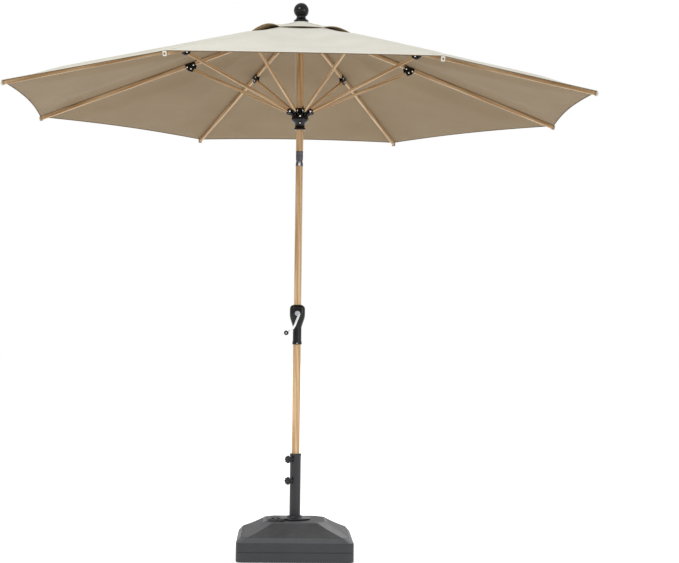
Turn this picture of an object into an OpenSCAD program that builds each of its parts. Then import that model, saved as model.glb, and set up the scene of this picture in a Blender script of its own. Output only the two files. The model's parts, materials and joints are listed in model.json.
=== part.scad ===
// Market umbrella with crank lift and push-button tilt, standing in a water-filled square base.
// The pole runs along +Z, the origin is under it on the ground, and the crank faces -Y.

/* [Canopy] */
// Radius of the open canopy at a rib tip
canopy_r = 1372; // [1000:1:1700]
// Slope of the open ribs below level, in degrees
rib_slope = 15.4; // [12:0.1:20]
// Thickness of the canopy's solid
cloth_t = 2; // [1:0.5:6]
// Radius of the vent tier over a rib
vent_r = 250; // [180:1:320]
// Rise of the vent tier's edge midway between ribs
vent_rise = 30; // [10:1:50]

/* [Ribs and struts] */
// Width of a rib
rib_w = 12; // [10:0.5:15]
// Height of a rib
rib_h = 18; // [15:0.5:22]
// Width of a strut
strut_w = 10; // [8:0.5:12]
// Height of a strut
strut_h = 14; // [11:0.5:16]
// Distance of a bracket's pin from the crown, along the rib
bracket_x = 550; // [440:1:660]
// Diameter of the hinge pins of ribs and struts
pin_d = 5; // [4:0.5:6]

/* [Pole] */
// Height of the ribs' hinges above the ground
crown_z = 2420; // [2300:1:2904]
// Outer diameter of the upper and middle pole
pole_d = 33; // [30:0.5:34]
// Outer diameter of the lower pole
lower_pole_d = 35; // [34:0.5:38]
// Wall of the pole tubes
pole_wall = 1.8; // [1.5:0.1:2.5]
// Height of the lower pole's foot
foot_z = 70; // [68:1:120]
// Diameter of the finial's ball
finial_d = 70; // [55:1:84]

/* [Tilt joint and runner] */
// Drop from the crown's hinges to the tilt pin
tilt_drop = 610; // [560:1:720]
// Drop from the crown's hinges to the runner's hinges
runner_drop = 393; // [370:1:420]
// Radius of the runner's hinges
runner_hinge_r = 54; // [52:0.5:60]
// Clearance of the runner around the pole
runner_gap = 1; // [0.8:0.1:1.5]

/* [Crank] */
// Height of the crank shaft
crank_z = 1100; // [1000:1:1200]
// Width of the crank housing
housing_w = 70; // [60:1:84]
// Front to back depth of the crank housing
housing_d = 56; // [52:1:66]
// Diameter of the crank shaft
shaft_d = 8; // [7:0.5:9]
// Diameter of the cord spool's drum
drum_d = 17.5; // [15:0.5:19]

/* [Base] */
// Width of the square tank
tank_w = 520; // [433:1:624]
// Height of the tank's side wall
tank_wall_h = 86; // [72:1:103]
// Height of the tank's flat top
tank_h = 164; // [150:1:197]
// Width of the tank's flat top
plateau_w = 276; // [270:1:331]
// Thickness of the tank's plastic
tank_t = 4; // [3:0.5:5]
// Outer diameter of the base tube
tube_d = 50; // [48:0.5:56]
// Wall of the base tube
tube_wall = 2; // [1.5:0.1:2.5]
// Height of the base tube's rim
tube_top = 461; // [430:1:553]
// Diameter of the flange at the tube's foot
flange_d = 142; // [130:1:150]
// Diameter of the fill cap
cap_d = 58; // [50:1:62]
// Diameter of the clamp knobs
knob_d = 36; // [30:1:43]
// Distance between the clamp knobs
knob_gap = 97; // [81:1:116]

/* [Hidden] */
$fn = 48;

// Colours
resin = "#2b2c2f";
gloss_black = "#141416";
wood = "#cfa878";
cloth = "#cfccc0";
steel = "#c9c9cc";

// Fits
pin_clear = 0.1;
slot_clear = 0.5;
split_gap = 0.3;

// Ribs stand midway between the compass points, so that one panel faces -Y.
rib_count = 8;
rib_step = 360 / rib_count;
half_step = rib_step / 2;

// Crown
crown_r = 30;
tongue_t = 6;
eye_r = 7;
rib_root = 22;
rib_len = (canopy_r - crown_r) / cos(rib_slope);
pole_r = pole_d / 2;
pole_bore = pole_r - pole_wall;
hub_r = 40;
hub_bottom = crown_z - 16;
hub_top = crown_z + 17;
pole_top = crown_z + 8;
pulley_w = 5;
pulley_z = crown_z - 8;
cord_d = 3;

// Linkage: the strut runs from the runner's hinge to the bracket's pin.
runner_z = crown_z - runner_drop;
bracket_wall = 2;
bracket_drop = rib_h / 2 + bracket_wall + strut_h / 2 + 2;
bracket_pin_r = crown_r + bracket_x * cos(rib_slope) - bracket_drop * sin(rib_slope);
bracket_pin_z = crown_z - bracket_x * sin(rib_slope) - bracket_drop * cos(rib_slope);
strut_run = bracket_pin_r - runner_hinge_r;
strut_rise = bracket_pin_z - runner_z;
strut_len = sqrt(strut_run * strut_run + strut_rise * strut_rise);
strut_angle = atan2(strut_rise, strut_run);
ear_t = 3.5;
ear_y = strut_w / 2 + slot_clear;
bracket_len = 40;

// Canopy: its underside lies just over the ribs.
cloth_gap = 1.2;
gore_gap = 1;
gore_in = 60;
vent_in = 24;
cloth_lift = (rib_h / 2 + cloth_gap) / cos(rib_slope);
vent_top_z = hub_top + 6.5;
vent_over = 1.5;

// Finial
finial_z = vent_top_z + cloth_t + 1;

// Runner
runner_bore = pole_r + runner_gap;
runner_top = runner_z + 26;
runner_bottom = runner_z - 84;

// Tilt joint
tilt_z = crown_z - tilt_drop;
tilt_plate = 5.5;
tongue_half = 7.2;
tongue_r = 14;
yoke_top = tilt_z - 8;
yoke_bottom = tilt_z - 34;
tongue_body = tilt_z + 17;
tongue_top = tilt_z + 35;
spigot = 40;
cord_x = pole_bore - 5.7;
pulley_r = pole_r - cord_x;
button_z = yoke_bottom + 12;
button_r = 4.8;

// Crank
lower_pole_r = lower_pole_d / 2;
sleeve_r = max(lower_pole_r, pole_r) + 2;
housing_top = crank_z + 39;
sleeve_bottom = crank_z - 142;
joint_z = crank_z - 68;
boss_r = 20;
boss_y = housing_d / 2 + 8;
drum_r = drum_d / 2;
spool_flange_r = pole_bore - 1.7;
spool_half = 4.2;
arm_y = boss_y + 8;
arm_t = 5;
arm_w = 11;
arm_bend = [-20, -66];
arm_end = [-50, -90];
crank_knob_d = 22;
crank_knob_len = 30;

// Base
chamfer_in = 20;
chamfer_h = 22;
corner_r = 30;
plateau_clip = 40;
slope_clip = 30;
tube_r = tube_d / 2;
tube_bore = tube_r - tube_wall;
tube_bottom = foot_z - 6;
well_t = 4;
flange_h = 8;
collar_h = 15;
boss_h = 12;
cap_r = cap_d / 2;
cap_boss_r = cap_r + 12;
cap_offset = flange_d / 2 + cap_boss_r + 10;
neck_r = cap_r - 5;
cap_seal_t = 2;
cap_azimuth = 225;
knob_azimuth = 225;
stud_r = 4.9;
pad_gap = 0.3;
pad_t = 2.4;
pad_r = 5.4;
nut_r = 9;
nut_out = tube_r + 8;
knob_r = knob_d / 2;
knob_in = nut_out + 3;
knob_len = 20;
upper_knob_z = tube_top - 25;
lower_knob_z = upper_knob_z - knob_gap;

// ---- Helpers ----

// A flat plate in the XZ plane, t thick across Y.
module plate_xz(t) {
    rotate([90, 0, 0]) linear_extrude(t, center = true) children();
}

// A round pin along Y, l long.
module pin_y(r, l) {
    rotate([90, 0, 0]) cylinder(r = r, h = l, center = true);
}

// A rectangle with rounded corners.
module rounded_rect(w, h, r) {
    square([w - 2 * r, h], center = true);
    square([w, h - 2 * r], center = true);
    for (x = [-1, 1], y = [-1, 1])
        translate([x * (w / 2 - r), y * (h / 2 - r)]) circle(r);
}

// A bar along +X with rounded edges, w wide across Y and h high.
module bar_x(len, w, h, r) {
    rotate([90, 0, 90]) linear_extrude(len) rounded_rect(w, h, r);
}

// Places a child at rib k's azimuth, with X pointing outward.
module radial(k) {
    rotate([0, 0, half_step + rib_step * (k - 1)]) children();
}

// Places a child at the crown's hinge, with X along the open rib.
module at_rib(k) {
    radial(k) translate([crown_r, 0, crown_z]) rotate([0, rib_slope, 0]) children();
}

// Places a child at the runner's hinge, with X along the open strut.
module at_strut(k) {
    radial(k) translate([runner_hinge_r, 0, runner_z]) rotate([0, -strut_angle, 0]) children();
}

// Height of the canopy's underside over a rib at radius r.
function cloth_z(r) = crown_z - (r - crown_r) * tan(rib_slope) + cloth_lift;

// Half of one rib's share of the cloth at ring radius r, as far as the next share.
function gore_half(r) = r * sin(half_step) - gore_gap / 2;

// A petal of cloth from ring r0 to ring r1: a ridge over the rib and an edge at each
// mid-panel, raised by rise1 at the outer ring.
module petal(r0, z0, r1, z1, rise1) {
    points = [for (up = [0, cloth_t], ring = [[r0, z0, 0], [r1, z1, rise1]], s = [-1, 0, 1])
        [ring[0] - abs(s) * gore_half(ring[0]) * sin(half_step),
         s * gore_half(ring[0]) * cos(half_step),
         ring[1] + abs(s) * ring[2] + up]];
    faces = [
        [0, 3, 4], [0, 4, 1], [1, 4, 5], [1, 5, 2],
        [6, 10, 9], [6, 7, 10], [7, 11, 10], [7, 8, 11],
        [0, 1, 7], [0, 7, 6], [1, 2, 8], [1, 8, 7],
        [3, 9, 10], [3, 10, 4], [4, 10, 11], [4, 11, 5],
        [0, 6, 9], [0, 9, 3], [2, 5, 11], [2, 11, 8]];
    polyhedron([for (p = points) p], [for (f = faces) [f[0], f[2], f[1]]]);
}

// ---- Base ----

// Outline of the tank's wall, with rounded corners.
module tank_outline(half) {
    rounded_rect(2 * half, 2 * half, corner_r);
}

// A square of the given half width with its corners clipped.
module clipped_square(half, clip) {
    polygon([for (q = [0 : 3]) for (p = [[half, half - clip], [half - clip, half]])
        [p[0] * cos(90 * q) - p[1] * sin(90 * q), p[0] * sin(90 * q) + p[1] * cos(90 * q)]]);
}

// The tank's outer form, shrunk by t on every side.
module tank_form(t) {
    half = tank_w / 2 - t;
    top = tank_h - t;
    shoulder = tank_wall_h + chamfer_h - t / 2;
    translate([0, 0, t]) linear_extrude(tank_wall_h - t) tank_outline(half);
    hull() {
        translate([0, 0, tank_wall_h - 0.01]) linear_extrude(0.01, $fn = 32) tank_outline(half);
        translate([0, 0, shoulder]) linear_extrude(0.01) clipped_square(half - chamfer_in, slope_clip);
    }
    hull() {
        translate([0, 0, shoulder]) linear_extrude(0.01) clipped_square(half - chamfer_in, slope_clip);
        translate([0, 0, top - 0.01]) linear_extrude(0.01)
            clipped_square(plateau_w / 2 - t / 2, plateau_clip);
    }
}

// Places a child on the tank's top at the fill cap.
module at_cap() {
    rotate([0, 0, cap_azimuth]) translate([cap_offset, 0, tank_h]) rotate([0, 0, 45]) children();
}

module base_tank() {
    color(resin) difference() {
        union() {
            difference() {
                tank_form(0);
                tank_form(tank_t);
            }
            translate([0, 0, tube_bottom - well_t]) cylinder(r = tube_r + well_t, h = tank_h - tube_bottom);
            at_cap() translate([0, 0, -tank_t]) cylinder(r = cap_boss_r, h = tank_t + boss_h);
            at_cap() translate([0, 0, -18]) cylinder(r = neck_r + 3, h = 18);
        }
        translate([0, 0, tube_bottom]) cylinder(r = tube_r, h = tank_h);
        at_cap() cylinder(r = cap_r + slot_clear, h = boss_h + 1);
        at_cap() translate([0, 0, -30]) cylinder(r = neck_r, h = 40);
    }
}

module base_flange() {
    color(resin) translate([0, 0, tank_h]) rotate_extrude() difference() {
        union() {
            translate([0, 0]) square([flange_d / 2 - 4, flange_h]);
            translate([flange_d / 2 - 4, flange_h / 2]) circle(flange_h / 2);
            square([tube_r + 9, collar_h - 4]);
            translate([tube_r + 9, collar_h - 4]) circle(3.5);
            square([tube_r + 5, collar_h]);
        }
        translate([-1, -1]) square([tube_r + 1, collar_h + 2]);
    }
}

// Places a child on the base tube's axis at height z, with +Z pointing out along the clamp.
module at_clamp(z) {
    rotate([0, 0, knob_azimuth]) translate([0, 0, z]) rotate([0, 90, 0]) children();
}

module base_tube() {
    color(resin) difference() {
        union() {
            translate([0, 0, tube_bottom]) cylinder(r = tube_r, h = tube_top - tube_bottom);
            translate([0, 0, tube_top - 12]) cylinder(r = tube_r + 1.5, h = 12);
            for (z = [upper_knob_z, lower_knob_z])
                at_clamp(z) cylinder(r = nut_r, h = nut_out);
        }
        translate([0, 0, foot_z]) cylinder(r = tube_bore, h = tube_top - 10 - foot_z);
        translate([0, 0, tube_top - 11]) cylinder(r = lower_pole_r + runner_gap, h = 12);
        for (z = [upper_knob_z, lower_knob_z])
            at_clamp(z) cylinder(r = stud_r + pin_clear, h = nut_out + 1);
    }
}

module cap_seal() {
    color(gloss_black) at_cap() difference() {
        cylinder(r = cap_r - 1, h = cap_seal_t);
        translate([0, 0, -1]) cylinder(r = neck_r - 1, h = cap_seal_t + 2);
    }
}

module fill_cap() {
    color(resin) at_cap() {
        difference() {
            translate([0, 0, cap_seal_t]) cylinder(r = cap_r, h = boss_h - cap_seal_t + 1);
            translate([0, 0, cap_seal_t + 3]) cylinder(r = cap_r - 5, h = boss_h);
        }
        translate([0, 0, boss_h / 2 + 1.5]) cube([2 * cap_r - 8, 8, boss_h - 3], center = true);
        translate([0, 0, -14]) cylinder(r = neck_r - 1.3, h = cap_seal_t + 14);
    }
}

// A clamp's pressure pad, which the stud turns on.
module clamp_pad(z) {
    color(steel) at_clamp(z) translate([0, 0, lower_pole_r + pad_gap]) cylinder(r = pad_r, h = pad_t);
}

// A lobed knob with its threaded stud.
module clamp_knob(z) {
    stud_in = lower_pole_r + pad_gap + pad_t;
    color(gloss_black) at_clamp(z) {
        translate([0, 0, stud_in]) cylinder(r = stud_r, h = knob_in - stud_in + 2);
        translate([0, 0, knob_in]) cylinder(r = nut_r, h = 6);
        translate([0, 0, knob_in + 5]) linear_extrude(knob_len - 7) {
            circle(knob_r - 2.5);
            for (i = [0 : 7]) rotate(45 * i) translate([knob_r - 4, 0]) circle(4);
        }
        translate([0, 0, knob_in + knob_len - 3]) cylinder(r = knob_r - 5, h = 3);
    }
}

module upper_clamp_pad() { clamp_pad(upper_knob_z); }
module upper_clamp_knob() { clamp_knob(upper_knob_z); }
module lower_clamp_pad() { clamp_pad(lower_knob_z); }
module lower_clamp_knob() { clamp_knob(lower_knob_z); }

// ---- Pole ----

// A round tube along Z from z0 to z1.
module tube_z(r, wall, z0, z1) {
    difference() {
        translate([0, 0, z0]) cylinder(r = r, h = z1 - z0);
        translate([0, 0, z0 - 1]) cylinder(r = r - wall, h = z1 - z0 + 2);
    }
}

module pole_lower() {
    color(wood) tube_z(lower_pole_r, pole_wall, foot_z, joint_z);
}

module pole_middle() {
    color(wood) difference() {
        tube_z(pole_r, pole_wall, joint_z, yoke_bottom);
        translate([0, -pole_r, crank_z]) pin_y(shaft_d / 2 + pin_clear, 2 * pole_r);
    }
}

module pole_upper() {
    color(wood) difference() {
        tube_z(pole_r, pole_wall, tongue_top, pole_top);
        translate([-pole_d, 0, pole_top]) cube([2 * pole_d - 6, pulley_w + 1, 50], center = true);
        translate([-pole_r, 0, pulley_z]) pin_y(2 + pin_clear, 10.4);
    }
}

// ---- Crank ----

// Front outline of the crank housing: wide shoulders that narrow to the sleeve.
module housing_outline() {
    w = housing_w / 2;
    top = housing_top - crank_z;
    polygon(concat(
        [for (a = [0 : 15 : 90]) [w - 12 + 12 * cos(a), top - 17 + 12 * sin(a)]],
        [[12, top], [-12, top]],
        [for (a = [90 : 15 : 180]) [-w + 12 + 12 * cos(a), top - 17 + 12 * sin(a)]],
        [[-w, -14], [-w + 3, -24], [-sleeve_r, -62], [-sleeve_r, -66]],
        [[sleeve_r, -66], [sleeve_r, -62], [w - 3, -24], [w, -14]]));
}

// The whole housing, before it is split into its two shells.
module housing_form() {
    difference() {
        union() {
            translate([0, 0, crank_z]) plate_xz(housing_d) housing_outline();
            translate([0, 0, sleeve_bottom]) cylinder(r = sleeve_r, h = joint_z + 4 - sleeve_bottom);
            translate([0, 0, sleeve_bottom]) cylinder(r = sleeve_r + 2, h = 14);
            translate([0, -boss_y / 2, crank_z]) pin_y(boss_r, boss_y);
        }
        translate([0, 0, joint_z]) cylinder(r = pole_r, h = housing_top - joint_z + 1);
        translate([0, 0, sleeve_bottom - 1]) cylinder(r = lower_pole_r + pin_clear, h = joint_z + 1 - sleeve_bottom);
        translate([0, -boss_y, crank_z]) pin_y(shaft_d / 2 + pin_clear, 2 * boss_y);
        // The shoulders curve back to the sleeve at the front and the rear.
        for (s = [-1, 1])
            translate([0, s * (housing_d / 2 + 22), crank_z - 66]) rotate([s * 34, 0, 0])
                cube([3 * housing_w, 40, 90], center = true);
    }
}

// Everything on one side of the split, side -1 at the front and 1 at the rear.
module half_space(side) {
    translate([-200, side > 0 ? split_gap / 2 : -200 - split_gap / 2, sleeve_bottom - 10])
        cube([400, 200, 300]);
}

module crank_housing_front() {
    color(gloss_black) intersection() {
        housing_form();
        half_space(-1);
    }
}

module crank_housing_rear() {
    color(gloss_black) intersection() {
        housing_form();
        half_space(1);
    }
}

// The flat arm from the shaft, past its bend, to the knob.
module arm_outline() {
    for (leg = [[[0, 0], arm_bend], [arm_bend, arm_end]]) {
        d = leg[1] - leg[0];
        translate(leg[0]) rotate(atan2(d[1], d[0])) translate([0, -arm_w / 2]) square([norm(d), arm_w]);
        translate(leg[1]) circle(arm_w / 2 + 0.4);
    }
    circle(13);
}

module crank_handle() {
    color(steel) translate([0, 0, crank_z]) {
        translate([0, -(arm_y + spool_half) / 2 + spool_half, 0]) pin_y(shaft_d / 2, arm_y + spool_half);
        translate([0, -boss_y - 4, 0]) pin_y(10, 7.4);
        translate([0, -arm_y - arm_t / 2 + 1, 0]) plate_xz(arm_t) arm_outline();
        translate([arm_end[0], -arm_y - arm_t - crank_knob_len / 2, arm_end[1]]) pin_y(3, crank_knob_len + 4);
    }
}

module crank_knob() {
    y0 = -arm_y - arm_t + 1 - 0.5;
    color(gloss_black) translate([arm_end[0], y0, crank_z + arm_end[1]]) rotate([90, 0, 0]) rotate_extrude()
        difference() {
            union() {
                square([crank_knob_d / 2 - 3, crank_knob_len]);
                translate([0, 3]) square([crank_knob_d / 2, crank_knob_len - 6]);
                for (z = [3, crank_knob_len - 3]) translate([crank_knob_d / 2 - 3, z]) circle(3);
            }
            translate([-1, -1]) square([4 + pin_clear, crank_knob_len + 5]);
        }
}

module cord_spool() {
    color(steel) translate([0, 0, crank_z]) difference() {
        union() {
            pin_y(drum_r, 2 * spool_half);
            for (s = [-1, 1]) translate([0, s * (spool_half - 0.6), 0]) pin_y(spool_flange_r, 1.2);
        }
        pin_y(shaft_d / 2, 3 * spool_half);
    }
}

// ---- Tilt joint ----

// The joint's outer round, which the runner must clear.
module knuckle_round(z0, z1) {
    translate([0, 0, z0]) cylinder(r = pole_r, h = z1 - z0);
}

module tilt_yoke() {
    plate_y = tongue_half + split_gap + tilt_plate / 2;
    color(steel) difference() {
        union() {
            knuckle_round(yoke_bottom, yoke_top);
            translate([0, 0, yoke_bottom - spigot]) cylinder(r = pole_bore, h = spigot + 1);
            intersection() {
                for (s = [-1, 1]) translate([0, s * plate_y, tilt_z]) plate_xz(tilt_plate) {
                    circle(15);
                    translate([-15, -9]) square([30, 9]);
                }
                knuckle_round(yoke_top - 1, tilt_z + 20);
            }
        }
        translate([0, 0, tilt_z]) pin_y(4 + pin_clear, pole_d);
        translate([0, -pole_r, button_z]) pin_y(button_r + pin_clear, 2 * pole_r - 7);
        translate([-cord_x, 0, yoke_bottom - spigot - 1]) cylinder(r = cord_d, h = 90);
        // The round seat that the tongue turns in
        translate([0, 0, tilt_z]) pin_y(tongue_r + split_gap, 2 * (tongue_half + split_gap));
    }
}

module tilt_pin() {
    color(steel) translate([0, 0, tilt_z]) pin_y(4, 2 * (tongue_half + split_gap + tilt_plate));
}

module tilt_button() {
    color(gloss_black) translate([0, -pole_r + 5, button_z]) pin_y(button_r, 10);
}

module tilt_tongue() {
    color(steel) difference() {
        union() {
            knuckle_round(tongue_body, tongue_top);
            translate([0, 0, tongue_top - 1]) cylinder(r = pole_bore, h = spigot + 1);
            translate([0, 0, tilt_z]) intersection() {
                plate_xz(2 * tongue_half) {
                    circle(tongue_r);
                    translate([-tongue_r, 0]) square([2 * tongue_r, tongue_body - tilt_z + 1]);
                }
                knuckle_round(-20, 40);
            }
        }
        translate([0, 0, tilt_z]) pin_y(4 + pin_clear, pole_d);
        translate([-cord_x, 0, tilt_z - 20]) cylinder(r = cord_d, h = 120);
    }
}

// ---- Crown ----

module crown_hub() {
    color(gloss_black) difference() {
        union() {
            translate([0, 0, hub_bottom]) cylinder(r = hub_r, h = hub_top - hub_bottom);
            translate([0, 0, hub_bottom - 16]) cylinder(r = pole_r + 3, h = 20);
        }
        translate([0, 0, hub_bottom - 20]) cylinder(r = pole_r, h = pole_top - hub_bottom + 20);
        for (k = [1 : rib_count]) radial(k) {
            translate([(crown_r - eye_r - 2) + 25, 0, crown_z - 30 + eye_r + 2])
                cube([50, tongue_t + 2 * slot_clear, 60], center = true);
            translate([crown_r, 0, crown_z]) pin_y(pin_d / 2, 16);
        }
        // The slot of the cord's pulley
        translate([-pole_r - 6, 0, pole_top - 18]) cube([28, pulley_w + 1, 50], center = true);
        translate([-pole_r, 0, pulley_z]) pin_y(2 + pin_clear, 10.4);
    }
}

module crown_hinge_pins() {
    color(steel) for (k = [1 : rib_count]) radial(k) translate([crown_r, 0, crown_z]) pin_y(pin_d / 2, 16);
}

module cord_pulley() {
    color(steel) translate([-pole_r, 0, pulley_z]) rotate([90, 0, 0]) {
        rotate_extrude() difference() {
            translate([0, -pulley_w / 2]) square([pulley_r + 0.5, pulley_w]);
            translate([pulley_r, 0]) circle(cord_d / 2 + slot_clear);
        }
        cylinder(r = 2, h = 10, center = true);
    }
}

module finial() {
    ball = finial_d / 2;
    color(gloss_black) {
        translate([0, 0, hub_top]) cylinder(r = 8, h = finial_z - hub_top + 1);
        translate([0, 0, finial_z]) rotate_extrude() {
            square([ball, 3]);
            polygon([[0, 2], [ball, 2], [ball - 2, 6], [24, 16], [22, 22], [0, 22]]);
            translate([0, 51]) intersection() {
                circle(ball, $fn = 64);
                translate([0, -ball]) square([ball, 2 * ball]);
            }
        }
    }
}

// The lift cord from the spool up the pole, over the pulley and down to the runner.
cord_route = concat(
    [[-drum_r - cord_d / 2 - pin_clear, crank_z], [-cord_x, crank_z + 60]],
    [[-cord_x, tilt_z], [-cord_x, pulley_z]],
    [for (a = [30 : 30 : 150]) [-pole_r + pulley_r * cos(a), pulley_z + pulley_r * sin(a)]],
    [for (z = [pulley_z, (pulley_z + runner_z) / 2, runner_z + 9]) [-pole_r - pulley_r, z]]);

// Direction of the route at point i, as a unit vector in the XZ plane.
function route_dir(i) =
    let (a = cord_route[max(i - 1, 0)], b = cord_route[min(i + 1, len(cord_route) - 1)])
    (b - a) / norm(b - a);

module lift_cord() {
    sides = 8;
    rings = len(cord_route);
    points = [for (i = [0 : rings - 1], s = [0 : sides - 1])
        let (d = route_dir(i), c = cord_d / 2 * cos(360 * s / sides), w = cord_d / 2 * sin(360 * s / sides))
        [cord_route[i][0] - d[1] * c, w, cord_route[i][1] + d[0] * c]];
    walls = [for (i = [0 : rings - 2], s = [0 : sides - 1])
        let (t = (s + 1) % sides, a = i * sides, b = a + sides)
        each [[a + s, a + t, b + t], [a + s, b + t, b + s]]];
    ends = [[for (s = [sides - 1 : -1 : 0]) s], [for (s = [0 : sides - 1]) (rings - 1) * sides + s]];
    color("#e8e4da") polyhedron(points, concat(walls, ends));
}

// ---- Runner ----

module runner_hub() {
    color(gloss_black) difference() {
        union() {
            translate([0, 0, runner_bottom]) rotate_extrude() polygon([
                [0, 0], [runner_bore + 8.5, 0], [runner_bore + 9.5, 8], [runner_bore + 6, 13],
                [runner_bore + 6.5, 34], [runner_bore + 20.5, 48], [runner_bore + 20.5, 86],
                [runner_bore + 12.5, 90], [runner_bore + 3.5, 93], [runner_bore + 3.5, 110], [0, 110]]);
            for (k = [1 : rib_count], s = [-1, 1]) radial(k)
                translate([0, s * (ear_y + ear_t / 2), runner_z]) plate_xz(ear_t) {
                    translate([runner_hinge_r, 0]) circle(8.5);
                    polygon([[30, -36], [30, 2], [runner_hinge_r, 8.5], [runner_hinge_r + 6, -6]]);
                }
        }
        translate([0, 0, runner_bottom - 1]) cylinder(r = runner_bore, h = runner_top - runner_bottom + 2);
        for (k = [1 : rib_count]) radial(k) translate([runner_hinge_r, 0, runner_z]) pin_y(2, 60);
    }
}

// Screws in the runner's ears, which leave the strut between them free.
module runner_hinge_pins() {
    color(steel) for (k = [1 : rib_count], s = [-1, 1]) radial(k)
        translate([runner_hinge_r, s * (ear_y + ear_t / 2), runner_z]) {
            pin_y(2, ear_t);
            translate([0, s * (ear_t / 2 + 0.9), 0]) pin_y(4, 1.8);
        }
}

// ---- Ribs, struts and canopy ----

module rib(k) {
    color(wood) at_rib(k) difference() {
        union() {
            pin_y(eye_r, tongue_t);
            plate_xz(tongue_t) translate([0, -5]) square([rib_root + 6, 10]);
            translate([rib_root, 0, 0]) bar_x(rib_len - rib_root, rib_w, rib_h, 3);
        }
        pin_y(pin_d / 2 + pin_clear, 40);
    }
}

// The bracket under the rib, its pin and the cap on the rib's tip.
module rib_fittings(k) {
    at_rib(k) {
        color(gloss_black) translate([bracket_x, 0, 0]) difference() {
            union() {
                translate([-bracket_len / 2, -ear_y - ear_t, -rib_h / 2 - bracket_wall])
                    cube([bracket_len, 2 * (ear_y + ear_t), rib_h + bracket_wall - 1]);
                for (s = [-1, 1]) translate([0, s * (ear_y + ear_t / 2), 0]) plate_xz(ear_t) {
                    translate([0, -bracket_drop]) circle(8);
                    translate([-8, -bracket_drop]) square([16, bracket_drop]);
                }
            }
            translate([-bracket_len, 0, 0]) bar_x(2 * bracket_len, rib_w, rib_h, 3);
            translate([-bracket_len, -rib_w / 2, 0]) cube([2 * bracket_len, rib_w, rib_h]);
            translate([0, 0, -bracket_drop]) pin_y(pin_d / 2, 60);
        }
        color(steel) translate([bracket_x, 0, -bracket_drop]) {
            pin_y(pin_d / 2, 2 * (ear_y + ear_t));
            for (s = [-1, 1]) translate([0, s * (ear_y + ear_t + 1), 0]) pin_y(4.5, 2);
        }
        color(gloss_black) difference() {
            translate([rib_len - 24, -rib_w / 2 - 2, -rib_h / 2 - 2]) cube([28, rib_w + 4, rib_h + 1]);
            translate([rib_len - 30, 0, 0]) bar_x(30, rib_w, rib_h, 3);
            translate([rib_len - 30, -rib_w / 2, 0]) cube([30, rib_w, rib_h]);
        }
    }
}

module strut(k) {
    color(wood) at_strut(k) difference() {
        union() {
            pin_y(strut_h / 2, strut_w);
            bar_x(strut_len, strut_w, strut_h, 2.5);
            translate([strut_len, 0, 0]) pin_y(strut_h / 2, strut_w);
        }
        pin_y(2, 40);
        translate([strut_len, 0, 0]) pin_y(pin_d / 2 + pin_clear, 40);
    }
}

// One rib's share of the canopy and of the vent tier above it.
module canopy_gore(k) {
    color(cloth) radial(k) {
        petal(gore_in, cloth_z(gore_in), canopy_r, cloth_z(canopy_r), 0);
        petal(vent_in, vent_top_z, vent_r, cloth_z(vent_r) + cloth_t + vent_over, vent_rise);
    }
}

base_tank();
base_flange();
base_tube();
cap_seal();
fill_cap();
upper_clamp_pad();
upper_clamp_knob();
lower_clamp_pad();
lower_clamp_knob();
pole_lower();
pole_middle();
crank_housing_front();
crank_housing_rear();
crank_handle();
crank_knob();
cord_spool();
tilt_yoke();
tilt_pin();
tilt_button();
tilt_tongue();
pole_upper();
crown_hub();
crown_hinge_pins();
cord_pulley();
finial();
lift_cord();
runner_hub();
runner_hinge_pins();
for (k = [1 : rib_count]) {
    rib(k);
    rib_fittings(k);
    strut(k);
    canopy_gore(k);
}
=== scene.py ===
"""Market umbrella with a crank lift and push-button tilt, in its water-filled square base.

Shapes are worked out in millimetres as numpy arrays and put into meshes in metres.
"""
import json
import math

import bpy
import numpy as np
from mathutils import Matrix

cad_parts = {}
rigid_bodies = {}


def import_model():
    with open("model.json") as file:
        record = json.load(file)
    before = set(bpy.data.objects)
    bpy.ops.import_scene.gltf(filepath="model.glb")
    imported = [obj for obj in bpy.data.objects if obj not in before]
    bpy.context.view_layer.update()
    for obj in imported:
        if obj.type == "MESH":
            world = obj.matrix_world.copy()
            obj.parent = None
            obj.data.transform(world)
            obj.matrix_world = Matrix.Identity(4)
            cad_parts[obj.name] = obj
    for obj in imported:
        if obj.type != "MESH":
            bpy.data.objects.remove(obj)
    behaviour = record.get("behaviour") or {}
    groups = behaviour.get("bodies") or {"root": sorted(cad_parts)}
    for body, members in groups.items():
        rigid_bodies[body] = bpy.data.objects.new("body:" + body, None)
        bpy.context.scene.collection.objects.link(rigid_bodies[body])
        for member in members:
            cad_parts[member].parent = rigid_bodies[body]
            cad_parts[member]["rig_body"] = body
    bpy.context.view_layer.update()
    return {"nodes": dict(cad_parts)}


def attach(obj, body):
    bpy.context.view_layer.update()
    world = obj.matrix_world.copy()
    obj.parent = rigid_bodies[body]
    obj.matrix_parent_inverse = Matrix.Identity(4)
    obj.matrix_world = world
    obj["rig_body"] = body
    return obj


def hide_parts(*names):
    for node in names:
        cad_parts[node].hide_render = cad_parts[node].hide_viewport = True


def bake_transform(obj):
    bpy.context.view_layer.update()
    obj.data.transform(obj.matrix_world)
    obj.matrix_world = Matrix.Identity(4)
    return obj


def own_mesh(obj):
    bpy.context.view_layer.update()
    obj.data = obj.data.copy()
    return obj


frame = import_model()

MM = 0.001

# ---- Sizes that the pieces share with the frame, in millimetres ----

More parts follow.
